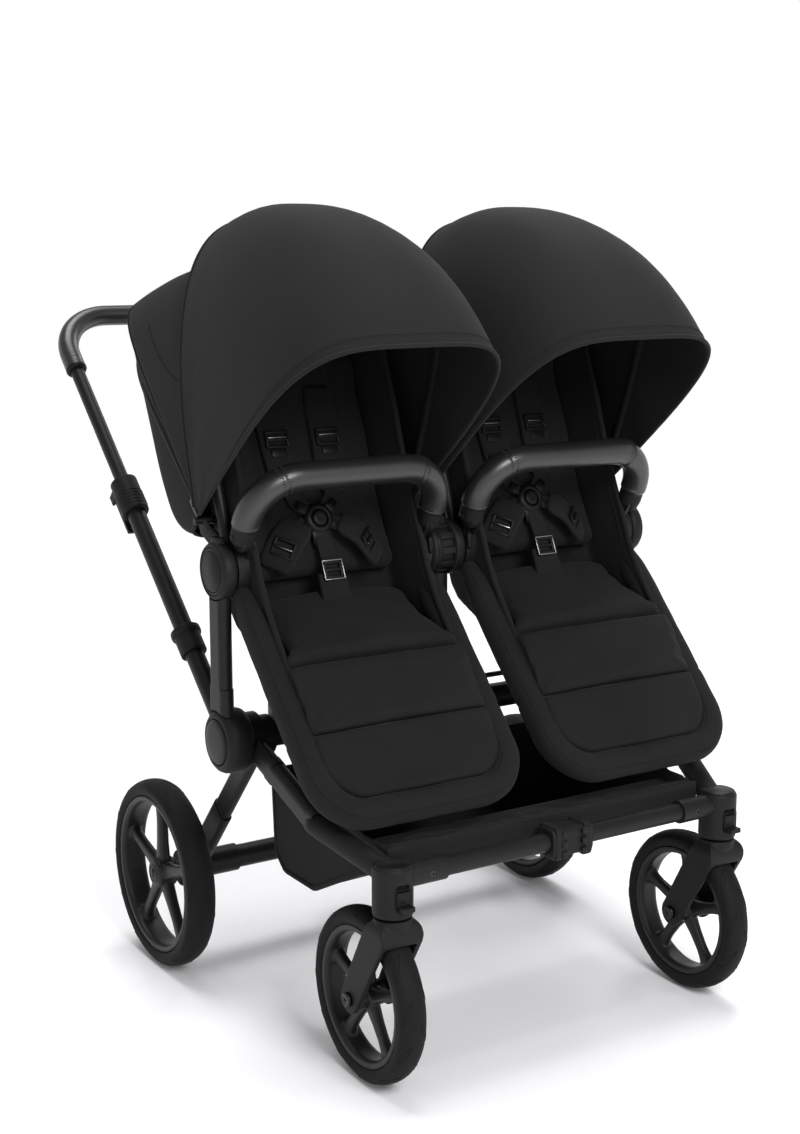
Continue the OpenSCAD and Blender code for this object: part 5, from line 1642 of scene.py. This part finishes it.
# %% Seat hubs
SEAT_HUB_ROUND = 0.041
PIN_ROUND = 0.0088
SEAT_HUB = [
    (-0.0415, 0.0), (-0.0415, PIN_ROUND), (-0.0235, PIN_ROUND), (-0.0235, 0.0350), (-0.0220, 0.0392),
    (-0.0170, SEAT_HUB_ROUND), (-0.0090, SEAT_HUB_ROUND), (-0.0045, 0.0398), (-0.0015, 0.0372),
    (-0.0006, 0.0345), (-0.0028, 0.0334), (-0.0028, 0.0288), (-0.0004, 0.0280), (-0.0001, 0.0),
]
SEAT_HUB_INLAY = [
    (-0.0026, 0.0290), (-0.0014, 0.0290), (-0.0010, 0.0306), (-0.0014, 0.0330), (-0.0026, 0.0330),
]
seat_hub_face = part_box("side_seat_hubs")[1].x


def seat_hub_centre(side):
    return Vector((SIDES[side] * seat_hub_face, seat_pivot[side].y, seat_pivot[side].z))


def seat_hub(side):
    hand = SIDES[side]
    centre = seat_hub_centre(side)
    latch = block(centre + Z * 0.0415 - X * hand * 0.012, (0.0065, 0.0120, 0.0060), None, 0.0025, 3)
    return merge(turned(centre, X * hand, SEAT_HUB, 96), latch)


def seat_hub_ring(side):
    return turned(seat_hub_centre(side), X * SIDES[side], SEAT_HUB_INLAY, 96, closed=True)


pair("seat_hub_disc", "chassis", "moulded_black", moulded, seat_hub, "side_seat_hubs")
pair("seat_hub_ring", "chassis", "cap_black", half_gloss, seat_hub_ring)
print("seat hubs", 2 * SEAT_HUB_ROUND, "m across")

# %% [markdown]
# ## Canopy arms
# A short flat arm at each side holds the canopy's pivot above the seat. A block would look like a
# bracket, so the arm is swept along a bent line and swells towards its foot, as a moulded one does.

# %% Arms that carry the canopies
ARM_LINE = [
    (0.1665, 0.004, 0.002), (0.1600, 0.002, -0.014), (0.1510, -0.010, -0.028), (0.1450, -0.028, -0.040),
    (0.1430, -0.046, -0.050),
]
ARM_SIZES = [0.75, 0.95, 1.0, 1.1, 1.2]
for side in SIDES:
    arms = []
    for hand in (-1, 1):
        path = [canopy_pivot[side] + Vector((hand * out, y, z)) for out, y, z in ARM_LINE]
        arms.append(swept(path, oval(0.030, 0.009, 24, 3.0), X, ARM_SIZES))
    add_piece(f"canopy_arms_{side}", merge(*arms), moulded, f"seat_{side}", "moulded_black", sharp_deg=50)
print("canopy arms", 2 * ARM_LINE[0][0], "m apart")

# %% Centre hub with its rings, prongs and levers
HUB_HALF = 0.030
PRONGS = 10
DRUM = [
    (-HUB_HALF - 0.018, 0.0), (-HUB_HALF - 0.018, PIN_ROUND), (-HUB_HALF, PIN_ROUND), (-HUB_HALF, 0.0335),
    (-HUB_HALF + 0.003, 0.0385), (-0.023, 0.0408), (-0.0135, 0.0408), (-0.0115, 0.0385), (-0.0105, 0.0325),
    (0.0105, 0.0325), (0.0115, 0.0385), (0.0135, 0.0408), (0.023, 0.0408), (HUB_HALF - 0.003, 0.0385),
    (HUB_HALF, 0.0335), (HUB_HALF, PIN_ROUND), (HUB_HALF + 0.018, PIN_ROUND), (HUB_HALF + 0.018, 0.0),
]
HUB_RING = [(-0.0030, 0.0402), (-0.0012, 0.0418), (0.0012, 0.0418), (0.0030, 0.0402), (0, 0.0390)]
low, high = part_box("centre_hub")
hub_middle = (low + high) / 2
shapes = [turned(hub_middle, X, DRUM, 96)]
for n in range(PRONGS):
    turn = 2 * math.pi * n / PRONGS
    out = Y * math.cos(turn) + Z * math.sin(turn)
    spin = Matrix((X, out, X.cross(out))).transposed()
    shapes.append(block(hub_middle + out * 0.0345, (0.0112, 0.0034, 0.0050), spin, 0.0010))
shapes.append(block(hub_middle + Z * 0.0420 - Y * 0.006, (0.0070, 0.0085, 0.0060), None, 0.0016))
add_piece(
    "centre_hub_drum", merge(*shapes), moulded,
    "chassis", "moulded_black", "centre_hub", sharp_deg=55,
)
rings = []
for hand in (-1, 1):
    rings.append(turned(hub_middle + X * hand * 0.0185, X, HUB_RING, 96, closed=True))
    lever_foot = hub_middle + X * hand * 0.0345
    lever = [lever_foot + Vector((0, -0.034 - 0.003 * t, 0.025 - 0.026 * t)) for t in steps(0.0, 1.0, 6)]
    rings.append(swept(lever, oval(0.0120, 0.0080, 20, 3.0), X, [0.7, 1, 1, 1, 0.95, 0.6]))
add_piece("centre_hub_rings", merge(*rings), half_gloss, "chassis", "cap_black")
print("centre hub", 2 * HUB_HALF, "m wide with", PRONGS, "prongs")

# %% [markdown]
# ## Mouldings with soft edges
# Corners, forks, clamps and levers come from a mould, and no moulded edge is sharp. Their CAD shape
# is fused and smoothed a little, which gives every edge a radius of a millimetre or two. A bevel would
# need clean corners, and these pieces have curves that run into each other.

# %% Round the moulded pieces
MOULDINGS = {
    "front_corners": ("chassis", moulded, 0.0016, 8),
    "crossbar_clasp": ("chassis", moulded, 0.0013, 5),
    "handle_clamps": ("chassis", moulded, 0.0013, 6),
    "brake_pedal": ("brake", moulded, 0.0014, 8),
    "fold_sliders": ("fold_slider", moulded, 0.0012, 6),
}
for side in SIDES:
    MOULDINGS[f"fork_{side}"] = (f"caster_{side}", moulded, 0.0013, 9)
    MOULDINGS[f"swivel_lock_{side}"] = (f"swivel_lock_{side}", half_gloss, 0.0009, 4)
    MOULDINGS[f"clamp_lever_{side}"] = (f"clamp_lever_{side}", half_gloss, 0.0009, 6)
for node, (body, finish, voxel, passes) in MOULDINGS.items():
    piece = moulded_copy(node, finish, voxel, passes)
    dress(piece, body, slot_of_node[node], node)
print("rounded", len(MOULDINGS), "mouldings")

# %% [markdown]
# ## Small fittings and wheel caps
# Ribs on the clasp, lids on the caster posts, rings on the handle tubes and caps on the wheels are a
# few millimetres high. Bump would draw them from the front, but would have no edge from the side, so
# each is a block or a turned profile set on its CAD piece.

# %% Small fittings on the chassis
POST_LID = [(-0.0016, 0.0), (-0.0016, 0.0246), (0.0006, 0.0240), (0.0018, 0.0216), (0.0022, 0.0)]
SLEEVE_RING = [(-0.0012, 0.0210), (0, 0.0219), (0.0012, 0.0210)]
WINDOW = ((-0.011, -0.013), (0.011, -0.013), (0.011, 0.013), (-0.011, 0.013))
low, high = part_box("crossbar_clasp")
clasp = (low + high) / 2
ribs = []
for hand in (-1, 1):
    for rise in steps(-0.0144, 0.0144, 3):
        place = clasp + Vector((hand * 0.017, -0.0210, rise))
        ribs.append(block(place, (0.0045, 0.0016, 0.0050), None, 0.0010))
studs = []
for side, hand in SIDES.items():
    stem = pivot_of(f"swivel_{side}")
    studs.append(turned(Vector((stem.x, stem.y, 0.319)), Z, POST_LID, 64))
    window = [Vector((stem.x + a, stem.y - 0.0272, 0.2795 + b)) for a, b in WINDOW]
    studs.append(swept(window, oval(0.0016, 0.0016, 6), -Y, closed=True))
    sleeve_foot = fold_axis + X * hand * HANDLE_HALF + handle_way * 0.424
    for n in range(5):
        studs.append(turned(sleeve_foot + handle_way * 0.006 * n, handle_way, SLEEVE_RING, 40))
add_piece("clasp_ribs", merge(*ribs), moulded, "chassis", "moulded_black", sharp_deg=50)
add_piece("chassis_rings", merge(*studs), half_gloss, "chassis", "cap_black")
print("small fittings placed:", len(ribs), "ribs and", len(studs), "rings")

# %% Wheel caps
WHEEL_CAP = [
    (-0.0180, 0.0), (-0.0180, 0.0200), (-0.0040, 0.0208), (-0.0010, 0.0195), (0.0006, 0.0150), (0.0012, 0.0),
]
CAP_RING = [(-0.0004, 0.0118), (0.0012, 0.0122), (0.0012, 0.0138), (-0.0004, 0.0142)]
KEYHOLE = [(-0.0008, 0.0), (-0.0008, 0.003), (0.0008, 0.003), (0.0008, 0.0)]
BOLT_HEAD = [
    (-0.004, 0.0), (-0.004, 0.0098), (0.0008, 0.0098), (0.0022, 0.0086), (0.0022, 0.0060), (0.0006, 0.0054),
    (0.0006, 0.0),
]
for side, hand in SIDES.items():
    centre, _, half = wheel_numbers("rear", side)
    out = X * hand
    face = centre + out * (half - 0.006)
    cap_shapes = [
        turned(face, out, WHEEL_CAP, 64),
        turned(face, out, CAP_RING, 48, closed=True),
        block(face + out * 0.0012, (0.0008, 0.0016, 0.0052), None, 0.0006),
        turned(face + out * 0.0012 + Z * 0.005, out, KEYHOLE, 24),
    ]
    add_piece(f"rear_wheel_cap_{side}", merge(*cap_shapes), half_gloss, f"rear_wheel_{side}", "cap_black")
    centre = wheel_numbers("front", side)[0]
    bolts = [turned(centre + X * way * 0.0352, X * way, BOLT_HEAD, 40) for way in (-1, 1)]
    add_piece(f"front_bolt_caps_{side}", merge(*bolts), dark_steel, f"caster_{side}", "dark_steel")
print("wheel caps placed")
